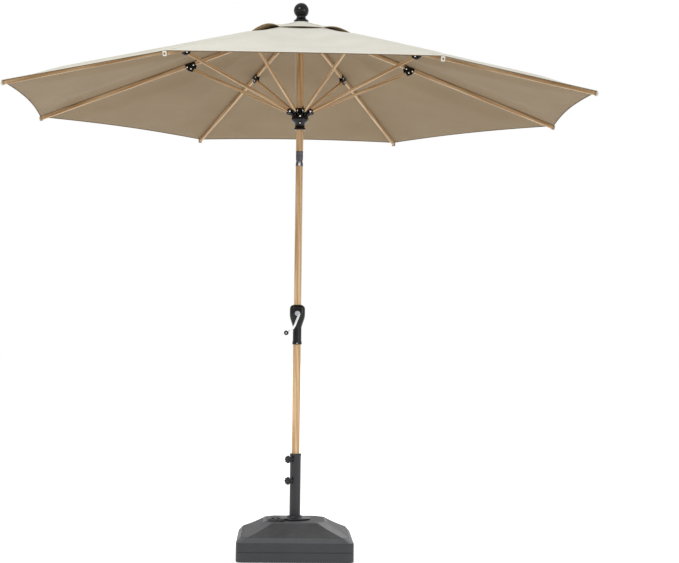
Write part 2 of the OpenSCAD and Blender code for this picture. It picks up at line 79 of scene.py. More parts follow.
RIBS = 8
HALF_PANEL = math.radians(180 / RIBS)
CANOPY_R = 1372
SLOPE = math.radians(15.4)
CROWN_R, CROWN_Z = 30, 2420
RIB_LEN = (CANOPY_R - CROWN_R) / math.cos(SLOPE)
RIB_W, RIB_H = 12, 18
STRUT_W, STRUT_H = 10, 14
BRACKET_X, BRACKET_DROP = 550, 20
HINGE_R, RUNNER_Z = 54, 2027
POLE_R, LOWER_R, WALL = 16.5, 17.5, 1.8
POLE_FOOT_Z, POLE_SPLIT_Z, YOKE_FOOT_Z, TONGUE_TOP_Z, POLE_TOP_Z = 70, 1032, 1776, 1845, 2428
TILT_Z, BUTTON_Z = 1810, 1788
CRANK_Z, PULLEY_Z = 1100, 2412
DECK_Z = 163.0
UPPER_CLAMP_Z, LOWER_CLAMP_Z = 436, 339
CLAMP_AZ = math.radians(225)
CAP_OFFSET = 122
CLOTH_LIFT = (RIB_H / 2 + 1.2) / math.cos(SLOPE)
VENT_TOP_Z = CROWN_Z + 23.5
VENT_R_IN, VENT_R_OUT = 24, 250


# ---- Camera and light ----

def stand(data, right, up, back, place):
    """Puts a camera or a lamp at a place in metres, with its X, Y and Z along right, up and back."""
    turn = np.eye(4)
    turn[:3] = np.column_stack([right, up, back, place])
    holder = bpy.data.objects.new(data.name, data)
    bpy.context.scene.collection.objects.link(holder)
    holder.matrix_world = Matrix(turn.tolist())
    return holder


def camera():
    """A long lens at chest height, seven metres off, with the horizon turned a little clockwise."""
    data = bpy.data.cameras.new("camera")
    data.sensor_width = 36.0
    data.lens = 81.43
    data.clip_end = 200
    yaw, pitch, roll = math.radians(2.160), math.radians(2.259), math.radians(0.694)
    forward = np.array([math.sin(yaw) * math.cos(pitch), math.cos(yaw) * math.cos(pitch), math.sin(pitch)])
    level = np.array([math.cos(yaw), -math.sin(yaw), 0.0])
    upright = np.cross(level, forward)
    right = level * math.cos(roll) + upright * math.sin(roll)
    up = upright * math.cos(roll) - level * math.sin(roll)
    bpy.context.scene.camera = stand(data, right, up, -forward, (-0.0742, -7.0348, 0.9710))


def lamp(name, place, aim, size, power, tint):
    """A square soft box at place that faces aim."""
    data = bpy.data.lights.new(name, "AREA")
    data.shape = "SQUARE"
    data.size = size
    data.energy = power
    data.color = tint
    back = np.array(place, float) - np.array(aim, float)
    back /= np.linalg.norm(back)
    side = np.cross([0.0, 0.0, 1.0], back)
    side /= np.linalg.norm(side)
    stand(data, side, np.cross(back, side), back, place)


camera()
bpy.context.scene.view_settings.view_transform = "Standard"
lamp("key_light", (-3.4, -5.2, 5.6), (0, 0, 1.6), 2.4, 185, (1.0, 0.985, 0.96))
lamp("fill_light", (4.8, -4.6, 2.4), (0, 0, 1.2), 3.0, 76, (0.96, 0.98, 1.0))
lamp("rim_light", (2.6, 5.6, 4.2), (0, 0, 1.4), 3.0, 70, (1.0, 1.0, 1.0))

# ---- Materials ----


def colour(hex_code, alpha=1.0):
    """Linear colour of an sRGB hex code."""
    s = np.array([int(hex_code[i:i + 2], 16) / 255 for i in (1, 3, 5)])
    linear = np.where(s <= 0.04045, s / 12.92, ((s + 0.055) / 1.055) ** 2.4)
    return (*linear.tolist(), alpha)


def add(tree, kind, inputs=None, out=0, stops=(), **settings):
    """Adds a node with its settings, sets or links its inputs by name or number, and gives the output
    asked for. Stops are the (position, hex) pairs of a node that has a colour ramp."""
    node = tree.nodes.new("ShaderNode" + kind)
    for name, value in settings.items():
        setattr(node, name, value)
    if stops:
        elements = node.color_ramp.elements
        while len(elements) < len(stops):
            elements.new(0.5)
        for element, (position, code) in zip(elements, stops):
            element.position = position
            element.color = colour(code)
    for name, value in (inputs or {}).items():
        if isinstance(value, bpy.types.NodeSocket):
            tree.links.new(value, node.inputs[name])
        else:
            node.inputs[name].default_value = value
    return node.outputs[out]


def material(name, **constants):
    """A new material and its shader, with the constant values on the shader's own sockets."""
    made = bpy.data.materials.new(name)
    made.use_nodes = True
    tree = made.node_tree
    tree.nodes.clear()
    sockets = {socket.replace("_", " "): value for socket, value in constants.items()}
    shader = add(tree, "BsdfPrincipled", sockets)
    tree.links.new(shader, tree.nodes.new("ShaderNodeOutputMaterial").inputs["Surface"])
    return made, tree, shader.node


def dress(tree, shader, **sockets):
    """Links outputs to the shader's sockets."""
    for name, output in sockets.items():
        tree.links.new(output, shader.inputs[name.replace("_", " ")])


def woven_polyester(name, base, dark, light, seam):
    """Solution-dyed polyester canvas, plain woven: matt, with a soft cross-thread tooth and faint heathering.
    The real threads are 0.5 mm apart; they are drawn at 1.6 mm, the finest that shows close up."""
    made, tree, shader = material(name, Roughness=0.88, Sheen_Weight=0.12, Sheen_Roughness=0.5,
                                  Specular_IOR_Level=0.25)
    uv = add(tree, "UVMap", uv_map="cloth")
    threads = {"Vector": uv, "Scale": 1 / 0.0016 / 3.1416 / 2, "Distortion": 0.6, "Detail": 1.0,
               "Detail Scale": 0.4}
    warp, weft = (add(tree, "TexWave", threads, "Fac", bands_direction=way) for way in "XY")
    weave = add(tree, "Math", {0: warp, 1: weft}, operation="MULTIPLY")
    place = add(tree, "TexCoord", out="Object")
    cloud = add(tree, "TexNoise", {"Vector": place, "Scale": 3.2, "Detail": 3.0, "Roughness": 0.55}, "Fac")
    heather = add(tree, "TexNoise", {"Vector": uv, "Scale": 260.0, "Detail": 2.0}, "Fac")
    tone = add(tree, "Mix", {0: 0.5, 2: cloud, 3: heather})
    cloth = add(tree, "ValToRGB", {"Fac": tone}, stops=[(0.36, dark), (0.5, base), (0.64, light)])
    # A felled seam runs along each rib, with a row of stitches 5 mm to each side of it, 4 mm a stitch.
    parts = add(tree, "SeparateXYZ", {0: uv}).node.outputs
    beside = add(tree, "Math", {0: parts["Y"]}, operation="ABSOLUTE")
    row = add(tree, "Math", {0: beside, 1: 0.005, 2: 0.0007}, operation="COMPARE")
    repeat = add(tree, "Math", {0: parts["X"], 1: 0.004}, operation="MODULO")
    dash = add(tree, "Math", {0: repeat, 1: 0.3 * 0.004}, operation="GREATER_THAN")
    stitch = add(tree, "Math", {0: row, 1: dash}, operation="MULTIPLY")
    faint = add(tree, "Math", {0: stitch, 1: 0.55}, operation="MULTIPLY")
    sewn = add(tree, "Mix", {0: faint, 6: cloth, 7: colour(seam)}, 2, data_type="RGBA")
    fold = add(tree, "TexNoise", {"Vector": place, "Scale": 7.0, "Detail": 2.0, "Roughness": 0.4}, "Fac")
    folded = add(tree, "Bump", {"Height": fold, "Distance": 6.0 * MM, "Strength": 0.12})
    tooth = add(tree, "Math", {0: stitch, 1: -0.8, 2: weave}, operation="MULTIPLY_ADD")
    relief = add(tree, "Bump", {"Height": tooth, "Distance": 0.5 * MM, "Strength": 0.5, "Normal": folded})
    dress(tree, shader, Base_Color=sewn, Normal=relief)
    return made


def woodgrain(name, stops, roughness):
    """Steel and wood members in a honey oak finish under satin lacquer: long streaks, a few darker
    cathedral bands and small pores, all running along the member, 12 to 40 mm long by about 1 mm."""
    made, tree, shader = material(name, Roughness=roughness, Coat_Weight=0.18, Coat_Roughness=0.35,
                                  Specular_IOR_Level=0.4)
    along = add(tree, "Attribute", out="Vector", attribute_name="grain")
    streaks_at, bands_at, pores_at = (
        add(tree, "Mapping", {"Vector": along, "Scale": scale})
        for scale in ((5.0, 90.0, 90.0), (1.6, 34.0, 34.0), (60.0, 900.0, 900.0)))
    streaks = add(tree, "TexNoise", {"Vector": streaks_at, "Scale": 1.6, "Detail": 5.0, "Roughness": 0.62,
                                     "Distortion": 0.4}, "Fac")
    bands = add(tree, "TexWave", {"Vector": bands_at, "Scale": 0.9, "Distortion": 6.5, "Detail": 3.0,
                                  "Detail Scale": 1.2}, "Fac", bands_direction="DIAGONAL")
    pores = add(tree, "TexNoise", {"Vector": pores_at, "Scale": 1.0, "Detail": 1.0}, "Fac")
    tone = add(tree, "Mix", {0: 0.3, 2: streaks, 3: bands})
    wood = add(tree, "ValToRGB", {"Fac": tone}, stops=stops)
    dots = add(tree, "Math", {0: pores, 1: 0.66}, operation="GREATER_THAN")
    faint = add(tree, "Math", {0: dots, 1: 0.25}, operation="MULTIPLY")
    pored = add(tree, "Mix", {0: faint, 6: wood, 7: colour("#7d5430")}, 2, data_type="RGBA")
    relief = add(tree, "Bump", {"Height": streaks, "Distance": 0.25 * MM, "Strength": 0.4})
    dress(tree, shader, Base_Color=pored, Normal=relief)
    return made


def moulded(name, base, dark, roughness, coat=0.0, grit=0.6, depth=0.05, metallic=0.0, worn=None,
            gloss=0.5):
    """A moulded, cast or coated finish: a base colour that clouds slightly, an orange-peel skin whose
    lumps are grit millimetres wide, smudges that vary its gloss, and lighter rubbed edges if worn."""
    made, tree, shader = material(name, Metallic=metallic, Coat_Weight=coat, Coat_Roughness=0.12,
                                  Specular_IOR_Level=gloss)
    place = add(tree, "TexCoord", out="Object")
    cloud = add(tree, "TexNoise", {"Vector": place, "Scale": 24.0, "Detail": 4.0, "Roughness": 0.6}, "Fac")
    peel = add(tree, "TexNoise", {"Vector": place, "Scale": 1000 / grit / 2, "Detail": 2.0}, "Fac")
    paint = add(tree, "ValToRGB", {"Fac": cloud}, stops=[(0.3, dark), (0.7, base)])
    if worn:
        edge = add(tree, "NewGeometry", out="Pointiness")
        rubbed = add(tree, "MapRange", {"Value": edge, "From Min": 0.6, "From Max": 0.8})
        paint = add(tree, "Mix", {0: rubbed, 6: paint, 7: colour(worn)}, 2, data_type="RGBA")
    smudge = add(tree, "MapRange", {"Value": cloud, "From Min": 0.3, "From Max": 0.7,
                                    "To Min": roughness * 0.85, "To Max": roughness * 1.15})
    relief = add(tree, "Bump", {"Height": peel, "Distance": depth * MM, "Strength": 0.5})
    dress(tree, shader, Base_Color=paint, Roughness=smudge, Normal=relief)
    return made


def leather_grain(name, base, dark, roughness, cell, depth):
    """Blow-moulded polyethylene from a tool with an etched leather grain: low pebbles about cell
    millimetres across with fine creases between them, and a dull even gloss."""
    made, tree, shader = material(name, Specular_IOR_Level=0.45)
    place = add(tree, "TexCoord", out="Object")
    wander = add(tree, "TexNoise", {"Vector": place, "Scale": 90.0, "Detail": 2.0}, "Color")
    shifted = add(tree, "Mix", {0: 0.012, 4: place, 5: wander}, 1, data_type="VECTOR")
    pebbles = add(tree, "TexVoronoi", {"Vector": shifted, "Scale": 1000 / cell}, "Distance",
                  feature="DISTANCE_TO_EDGE")
    crease_depth_and_shade = add(tree, "MapRange", {"Value": pebbles, "From Min": 0.0, "From Max": 0.32})
    cloud = add(tree, "TexNoise", {"Vector": place, "Scale": 9.0, "Detail": 3.0}, "Fac")
    speck = add(tree, "TexNoise", {"Vector": place, "Scale": 420.0, "Detail": 2.0}, "Fac")
    # The skin's colour darkens in the creases between the pebbles: painted shade in the creases, mixed with
    # the random cloud.
    tone = add(tree, "Mix", {0: 0.5, 2: cloud, 3: crease_depth_and_shade})
    skin = add(tree, "ValToRGB", {"Fac": tone}, stops=[(0.25, dark), (0.75, base)])
    gloss = add(tree, "MapRange", {"Value": crease_depth_and_shade, "To Min": roughness * 1.25, "To Max": roughness * 0.9})
    height = add(tree, "Math", {0: speck, 1: 0.35, 2: crease_depth_and_shade}, operation="MULTIPLY_ADD")
    relief = add(tree, "Bump", {"Height": height, "Distance": depth * MM, "Strength": 0.7})
    dress(tree, shader, Base_Color=skin, Roughness=gloss, Normal=relief)
    return made


def braided(name, base, dark, pitch):
    """A braided polyester lift line: pale yarns laid in a diagonal plait, pitch millimetres a turn."""
    made, tree, shader = material(name, Roughness=0.8, Sheen_Weight=0.1)
    uv = add(tree, "UVMap", uv_map="cloth")
    plait = add(tree, "TexWave", {"Vector": uv, "Scale": 1000 / pitch / 6.3, "Distortion": 0.3}, "Fac",
                bands_direction="DIAGONAL")
    yarn = add(tree, "ValToRGB", {"Fac": plait}, stops=[(0.2, dark), (0.8, base)])
    relief = add(tree, "Bump", {"Height": plait, "Distance": 0.4 * MM, "Strength": 0.7})
    dress(tree, shader, Base_Color=yarn, Normal=relief)
    return made


def brushed_metal(name, base, dark, roughness, scale=(300.0, 300.0, 30.0)):
    """Zinc-plated or polished steel, drawn or turned: bright, with fine lines that streak its gloss."""
    made, tree, shader = material(name, Metallic=1.0)
    place = add(tree, "TexCoord", out="Object")
    drawn = add(tree, "Mapping", {"Vector": place, "Scale": scale})
    lines = add(tree, "TexNoise", {"Vector": drawn, "Scale": 4.0, "Detail": 3.0}, "Fac")
    steel = add(tree, "ValToRGB", {"Fac": lines}, stops=[(0.3, dark), (0.7, base)])
    gloss = add(tree, "MapRange", {"Value": lines, "To Min": roughness * 0.7, "To Max": roughness * 1.3})
    relief = add(tree, "Bump", {"Height": lines, "Distance": 0.03 * MM, "Strength": 0.3})
    dress(tree, shader, Base_Color=steel, Roughness=gloss, Normal=relief)
    return made


CLOTH_TOP = woven_polyester("canopy_polyester_top", "#d0cdc1", "#c7c4b6", "#d8d5cb", "#aeaa9b")
# The underside is the same canvas as the top; its darker, warmer tan is painted shade and painted glow of
# light through the cloth.
CLOTH_UNDER_PAINTED_SHADE_GLOW = woven_polyester("canopy_polyester_underside_painted_shade_glow", "#a08a6b", "#9a8466", "#a69071", "#7b684c")
# The vent flaps' underside is the same canvas too; its light tan is painted glow of light coming up under the
# flaps and through the cloth.
VENT_UNDER_PAINTED_GLOW = woven_polyester("vent_polyester_underside_painted_glow", "#d2b487", "#c8aa7d", "#dabd94", "#957b57")
HEM_TOP = woven_polyester("hem_binding_top", "#ddd8ca", "#d3cdbe", "#e7e3d8", "#b8b09e")
# The binding's underside is the same binding as its top; its dark brown is painted shadow under the hem, with
# its stitching.
HEM_UNDER_PAINTED_SHADOW = woven_polyester("hem_binding_underside_painted_shadow", "#6b5c46", "#60523e", "#766750", "#4a3f2e")
HONEY_WOOD = woodgrain("honey_oak_finish", [(0.28, "#b08a5c"), (0.45, "#cba679"), (0.58, "#d8b78b"),
                                            (0.75, "#e5c9a3")], 0.45)
POLE_WOOD = woodgrain("honey_oak_film_on_steel_pole", [(0.28, "#b8915f"), (0.45, "#cda677"),
                                                       (0.58, "#d9b588"), (0.75, "#e3c49c")], 0.36)
GLOSS_BLACK = moulded("black_nylon_moulded_gloss", "#0d0d0e", "#070708", 0.2, grit=1.4, depth=0.04,
                      gloss=0.3)
KNOB_BLACK = moulded("black_nylon_moulded_satin", "#1b1b1e", "#131316", 0.34, grit=0.8, depth=0.05,
                     gloss=0.4)
CAST_METAL = moulded("zinc_die_cast_charcoal", "#6a676e", "#504e55", 0.4, grit=1.6, depth=0.1,
                     metallic=0.75, worn="#9b99a1")
POWDER_COAT = moulded("steel_powder_coat_satin_black", "#26262b", "#1d1d22", 0.36, grit=1.2, depth=0.07,
                      worn="#4a4a50", gloss=0.45)
END_CAP = moulded("pale_nylon_end_cap", "#dcd8cc", "#cfcabc", 0.45, grit=0.9, depth=0.04)
END_CUP = moulded("tan_nylon_end_cup", "#9c8566", "#8c7658", 0.5, grit=0.9, depth=0.04)
RUBBER = moulded("black_rubber_moulded", "#1a1a1b", "#111112", 0.7, grit=0.7, depth=0.06)
BRIGHT_STEEL = brushed_metal("zinc_plated_steel", "#f1f2f4", "#dadce0", 0.24)
SPOOL_STEEL = brushed_metal("turned_steel", "#b9bbc0", "#94979c", 0.3, (400.0, 40.0, 400.0))
TANK_LEATHER = leather_grain("polyethylene_tank_leather_grain", "#4b4c50", "#323336", 0.5, 3.4, 0.5)
TANK_SMOOTH = leather_grain("polyethylene_tank_smooth_band", "#55575b", "#4b4d51", 0.42, 1.6, 0.08)
TANK_WALL = leather_grain("polyethylene_tank_wall", "#3a3b3e", "#2d2e31", 0.5, 2.2, 0.16)
LIFT_LINE = braided("braided_polyester_line", "#ece8df", "#c9c4b8", 3.0)


# ---- Shapes: arrays of points and faces, in millimetres ----

def grid_faces(rows, cols, close_rows=False, close_cols=False):
    """Four-sided faces between the neighbours of a rows by cols grid of points, joined round where closed."""
    i = np.arange(rows if close_rows else rows - 1)[:, None]
    j = np.arange(cols if close_cols else cols - 1)[None, :]
    i1, j1 = (i + 1) % rows, (j + 1) % cols
    faces = np.stack(np.broadcast_arrays(i * cols + j, i * cols + j1, i1 * cols + j1, i1 * cols + j), -1)
    return faces.reshape(-1, 4).tolist()


def shape(points, faces, local=None):
    """A shape: its points, its faces, and each point's place along the grain."""
    points = np.asarray(points, float).reshape(-1, 3)
    return {"points": points, "faces": faces, "grain": points if local is None else local}


def joined(*shapes):
    """Several shapes as one."""
    points, faces, grain, start = [], [], [], 0
    for s in shapes:
        points.append(s["points"])
        grain.append(s["grain"])
        faces += [[i + start for i in f] for f in s["faces"]]
        start += len(s["points"])
    return {"points": np.concatenate(points), "faces": faces, "grain": np.concatenate(grain)}


def moved(s, matrix):
    """A shape put in place by a 4 x 4 matrix; its grain stays its own."""
    p = s["points"] @ matrix[:3, :3].T + matrix[:3, 3]
    return {"points": p, "faces": s["faces"], "grain": s["grain"]}


def at(x=0.0, y=0.0, z=0.0):
    """Matrix of a shift."""
    m = np.eye(4)
    m[:3, 3] = [x, y, z]
    return m


def turned(axis, angle):
    """Matrix of a turn by angle about the X, Y or Z axis."""
    c, s = math.cos(angle), math.sin(angle)
    i, j = {"x": (1, 2), "y": (2, 0), "z": (0, 1)}[axis]
    m = np.eye(4)
    m[i, i], m[i, j], m[j, i], m[j, j] = c, -s, s, c
    return m


def fillet(corners, radii, steps=5, closed=False):
    """A polyline with each corner cut by an arc: from one point on each side of the corner, at equal
    distances from it, a quadratic curve whose middle point is the corner."""
    corners = np.asarray(corners, float)
    n = len(corners)
    radii = np.broadcast_to(radii, (n,))
    out = []
    for i in range(n):
        p = corners[i]
        if radii[i] <= 0 or (not closed and i in (0, n - 1)):
            out.append(p[None])
            continue
        a, b = corners[i - 1] - p, corners[(i + 1) % n] - p
        la, lb = np.linalg.norm(a), np.linalg.norm(b)
        cut = min(radii[i], 0.49 * la, 0.49 * lb)
        t = np.linspace(0, 1, steps + 1)[:, None]
        out.append((1 - t) ** 2 * (p + a / la * cut) + 2 * t * (1 - t) * p + t ** 2 * (p + b / lb * cut))
    return np.concatenate(out)


def rings_of(profile, around):
    """Rings round Z through each (radius, height) of a profile."""
    a = np.linspace(0, 2 * math.pi, around, endpoint=False)
    r, h = profile[:, :1], profile[:, 1:]
    return np.stack([r * np.cos(a), r * np.sin(a), np.broadcast_to(h, (len(h), around))], -1)


def lathe(profile, around=64):
    """The profile of (radius, height) turned about Z: x = r cos a, y = r sin a, z = h. The profile runs up
    the outside and down the inside, and its last point joins its first."""
    faces = grid_faces(len(profile), around, close_rows=True, close_cols=True)
    return shape(rings_of(np.asarray(profile, float), around), faces)


def turned_solid(profile, around=64):
    """A solid of revolution: the profile runs from the axis at the bottom, up the outside, to the axis."""
    profile = np.asarray(profile, float)
    rings = rings_of(profile[1:-1], around).reshape(-1, 3)
    poles = np.array([[0, 0, profile[0, 1]], [0, 0, profile[-1, 1]]])
    n = len(rings)
    faces = grid_faces(len(profile) - 2, around, close_cols=True)
    last = (len(profile) - 3) * around
    for j in range(around):
        k = (j + 1) % around
        faces.append([n, k, j])
        faces.append([n + 1, last + j, last + k])
    return shape(np.concatenate([rings, poles]), faces)


def loft(rings):
    """A skin through rings of equal counts of points, with a flat cap over each end. The rings turn
    anticlockwise when seen from the end of the loft."""
    rings = np.asarray(rings, float)
    n, m = rings.shape[:2]
    faces = grid_faces(n, m, close_cols=True)
    faces.append(list(range(m - 1, -1, -1)))
    faces.append(list(range((n - 1) * m, n * m)))
    return shape(rings, faces)


def inset(outline, d):
    """A closed outline moved inward by d along the average of its two sides' normals at each point."""
    ahead = np.roll(outline, -1, 0) - outline
    ahead /= np.maximum(np.linalg.norm(ahead, axis=1, keepdims=True), 1e-9)
    tangent = ahead + np.roll(ahead, 1, 0)
    tangent /= np.maximum(np.linalg.norm(tangent, axis=1, keepdims=True), 1e-9)
    return outline - d * np.stack([tangent[:, 1], -tangent[:, 0]], -1)


def slab(outline, thick, edge=1.0, steps=3):
    """A plate with the anticlockwise outline, thick along Z from 0, whose edges are rounded: ring i is
    inset by edge (1 - sin t) at height edge (1 - cos t), and the same from the top."""
    outline = np.asarray(outline, float)
    t = np.linspace(0, math.pi / 2, steps + 1)
    low = [(edge * (1 - math.sin(x)), edge * (1 - math.cos(x))) for x in t]
    levels = low + [(d, thick - z) for d, z in reversed(low)]
    rings = [np.column_stack([inset(outline, d), np.full(len(outline), z)]) for d, z in levels]
    return loft(rings)


def circle(r, n):
    """The n points of a circle of radius r, anticlockwise from X."""
    a = np.linspace(0, 2 * math.pi, n, endpoint=False)
    return np.stack([r * np.cos(a), r * np.sin(a)], -1)


def sweep(path, section, up=(0, 0, 1)):
    """A section of (side, rise) points carried along a path: each ring stands across the path's
    tangent t, with side = up x t and rise = t x side."""
    path = np.asarray(path, float)
    section = np.asarray(section, float)
    tangent = np.gradient(path, axis=0)
    tangent /= np.linalg.norm(tangent, axis=1, keepdims=True)
    side = np.cross(np.broadcast_to(up, path.shape), tangent)
    side /= np.maximum(np.linalg.norm(side, axis=1, keepdims=True), 1e-9)
    rise = np.cross(tangent, side)
    rings = path[:, None] + section[None, :, :1] * side[:, None] + section[None, :, 1:] * rise[:, None]
    length = np.concatenate([[0], np.cumsum(np.linalg.norm(np.diff(path, axis=0), axis=1))])
    turn = np.linspace(0, 1, len(section), endpoint=False)
    local = np.stack([np.broadcast_to(length[:, None], rings.shape[:2]),
                      np.broadcast_to(turn * 10, rings.shape[:2]), np.zeros(rings.shape[:2])],
                      -1).reshape(-1, 3)
    made = loft(rings)
    made["grain"] = local
    return made


def screw(head_r, rise, socket=0.45):
    """A pan-head screw seen from +Z: a domed head with a six-sided socket sunk in its middle."""
    t = np.linspace(0, math.pi / 2, 6)
    dome = [(head_r * math.cos(x), rise * (0.25 + 0.75 * math.sin(x))) for x in t[:-1]]
    dome = [(r, h) for r, h in dome if r > head_r * socket]
    profile = [(0, 0), (head_r * 0.98, 0)] + dome + [(head_r * socket, rise * 0.98),
                                                      (head_r * socket * 0.9, rise * 0.35), (0, rise * 0.3)]
    return turned_solid(profile, 18)


def bar(length, w, h, r, steps=4, ends=1.0):
    """A bar along X from 0, w across Y and h along Z, with long edges of radius r and slightly
    eased ends: the section shrinks by a quarter circle over the last ends millimetres."""
    corners = [(w / 2, -h / 2), (w / 2, h / 2), (-w / 2, h / 2), (-w / 2, -h / 2)]
    section = fillet(corners, r, steps, closed=True)
    t = np.linspace(0, math.pi / 2, 4)
    eased = ends * (1 - np.cos(t))
    xs = np.concatenate([eased[:-1], np.linspace(ends, length - ends, 40), length - eased[::-1][1:]])
    cut = np.concatenate([ends * (1 - np.sin(t))[:-1], np.zeros(40), ends * (1 - np.sin(t))[::-1][1:]])
    rings = [np.column_stack([np.full(len(section), x), inset(section, c)]) for x, c in zip(xs, cut)]
    return loft(rings)


def piece(name, parts, body, nodes=(), sharp=35, uv=False):
    """One object from (shape, material) parts: points to metres, a grain attribute in metres, smooth
    faces with edges past the sharp angle kept crisp. It rides its body and replaces its CAD nodes."""
    mesh = bpy.data.meshes.new(name)
    whole = joined(*[s for s, _ in parts])
    mesh.from_pydata((whole["points"] * MM).tolist(), [], whole["faces"])
    finishes = []
    index = []
    for s, finish in parts:
        if finish not in finishes:
            finishes.append(finish)
        index += [finishes.index(finish)] * len(s["faces"])
    for finish in finishes:
        mesh.materials.append(finish)
    mesh.polygons.foreach_set("material_index", index)
    mesh.polygons.foreach_set("use_smooth", [True] * len(index))
    grain = mesh.attributes.new("grain", "FLOAT_VECTOR", "POINT")
    grain.data.foreach_set("vector", (whole["grain"] * MM).astype(np.float32).ravel())
    if uv:
        layer = mesh.uv_layers.new(name="cloth")
        corners = np.zeros(len(mesh.loops), np.int32)
        mesh.loops.foreach_get("vertex_index", corners)
        layer.data.foreach_set("uv", (whole["grain"][corners][:, :2] * MM).astype(np.float32).ravel())
    mesh.validate()
    mesh.set_sharp_from_angle(angle=math.radians(sharp))
    made = bpy.data.objects.new(name, mesh)
    bpy.context.scene.collection.objects.link(made)
    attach(made, body)
    if nodes:
        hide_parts(*nodes)
    return made


def radial(k):
    """Matrix that turns X to rib k's azimuth."""
    return turned("z", HALF_PANEL * (2 * k - 1))


def along_rib(k):
    """Matrix that puts the origin at the crown's hinge, with X along the open rib."""
    return radial(k) @ at(CROWN_R, 0, CROWN_Z) @ turned("y", SLOPE)


FACE_FRONT = turned("x", math.pi / 2)  # Turns +Z to -Y, and +Y to +Z.
FACE_BACK = turned("z", math.pi) @ FACE_FRONT


def clamp_seat(z):
    """Matrix that turns +Z out of the base tube towards the clamps, at height z."""
    return turned("z", CLAMP_AZ) @ at(0, 0, z) @ turned("y", math.pi / 2)


# ---- Base: tank, flange and tube ----

def tank_ring(half, clip, round_share, z, corner_steps=10, side_steps=14):
    """A square ring of the given half width. Each corner runs from (half, half - clip) to
    (half - clip, half), between a straight clip and a quarter circle as round_share goes from 0 to 1."""
    a = np.linspace(0, math.pi / 2, corner_steps)
    arc = np.stack([half - clip + clip * np.cos(a), half - clip + clip * np.sin(a)], -1)
    share = (1 - np.cos(2 * a)) / 2
    line = np.stack([half - clip * share, half - clip + clip * share], -1)
    corner = line + round_share * (arc - line)
    side = np.linspace(half - clip, -(half - clip), side_steps + 2)[1:-1]
    quarter = np.concatenate([corner, np.stack([side, np.full(side_steps, half)], -1)])
    ring = []
    for q in range(4):
        c, s = [(1, 0), (0, 1), (-1, 0), (0, -1)][q]
        ring.append(np.stack([c * quarter[:, 0] - s * quarter[:, 1],
                              s * quarter[:, 0] + c * quarter[:, 1]], -1))
    ring = np.concatenate(ring)
    return np.column_stack([ring, np.full(len(ring), z)])


def tank():
    """The tank's skin through square rings from its underside up its wall, over the chamfer and slopes to
    the top, and then on to a round hole under the fill cap. The slopes are dished by up to 2 mm."""
    corner_steps, side_steps = 10, 14
    around = 4 * (corner_steps + side_steps)
    wall = [(254, 26, 1, 0), (258, 28, 1, 1.2), (260, 30, 1, 5), (260, 30, 1, 43.4), (258.4, 30, 1, 44.6),
            (258.4, 30, 1, 46.2), (260, 30, 1, 47.4), (260, 30, 1, 82), (259.5, 30, 1, 84.6),
            (258, 30, 1, 86.6)]
    band = [(258, 30, 1, 86.6), (256, 30, 0.8, 88.8), (242, 30, 0.12, 105.2), (240.6, 30, 0, 107),
            (239.2, 30, 0, 108.2)]
    slope = []
    for t in np.linspace(0, 1, 10):
        dish = 2.0 * math.sin(math.pi * t)
        slope.append((238.4 + (144 - 238.4) * t, 30 + 8.5 * t, 0, 108.6 + (158.4 - 108.6) * t - dish))
    rim = [(144, 38.5, 0, 158.4), (142.8, 38.7, 0, 159.4), (139, 39.6, 0, 162.6), (137.6, 40, 0, 163.6),
           (136, 40, 0, 164), (134.6, 40, 0, 163.9), (133, 39.6, 0, 163.2), (131, 39.4, 0, DECK_Z)]

    def skin(rows):
        """The rings through the rows, and the faces between them."""
        rings = np.array([tank_ring(*row, corner_steps, side_steps) for row in rows])
        return rings, grid_faces(len(rows), around, close_cols=True)

    rings, faces = skin(wall)
    faces.append(list(range(around - 1, -1, -1)))
    parts = [(shape(rings, faces), TANK_WALL), (shape(*skin(band)), TANK_SMOOTH)]
    # On the slopes the corner facets are smooth and the four broad faces carry the leather grain.
    rings, slope_faces = skin(slope)
    period = corner_steps + side_steps
    at_corner = [(f[0] % around) % period < corner_steps - 1 for f in slope_faces]
    for corner, finish in ((True, TANK_SMOOTH), (False, TANK_LEATHER)):
        parts.append((shape(rings, [f for f, c in zip(slope_faces, at_corner) if c == corner]), finish))
    parts.append((shape(*skin(rim)), TANK_SMOOTH))
    # The top runs from its outline to the filler neck's edge, then down the neck.
    outline = skin(rim[-1:])[0][0]
    centre = CAP_OFFSET * np.array([math.cos(CLAMP_AZ), math.sin(CLAMP_AZ)])
    away = outline[:, :2] - centre
    away /= np.linalg.norm(away, axis=1, keepdims=True)
    rows = [outline]
    for share in (0.35, 0.7, 1.0):
        flat = outline[:, :2] + (centre + away * 24 - outline[:, :2]) * share
        rows.append(np.column_stack([flat, np.full(around, DECK_Z)]))
    for neck_r, z in ((24, 147.0), (3, 146.0)):
        rows.append(np.column_stack([centre + away * neck_r, np.full(around, z)]))
    top_faces = grid_faces(len(rows), around, close_cols=True)
    top_faces.append(list(range((len(rows) - 1) * around, len(rows) * around)))
    parts.append((shape(np.array(rows), top_faces), TANK_WALL))
    # The filler's boss: a ring with a stepped, rounded rim round the recess that the cap sits in.
    boss = fillet([(29.5, 0), (41, 0), (41, 7.2), (39.2, 8.6), (38.4, 12), (33.8, 12.6), (32.6, 11.4),
                   (30.4, 11.4), (29.5, 10.4)], [0, 0, 1.6, 0.9, 1.6, 1.2, 0.6, 0.6, 0], 4)
    place = turned("z", CLAMP_AZ) @ at(CAP_OFFSET, 0, DECK_Z)
    parts.append((moved(lathe(boss, 72), place), POWDER_COAT))
    return piece("tank", parts, "base", ["base_tank"], 28)


tank()

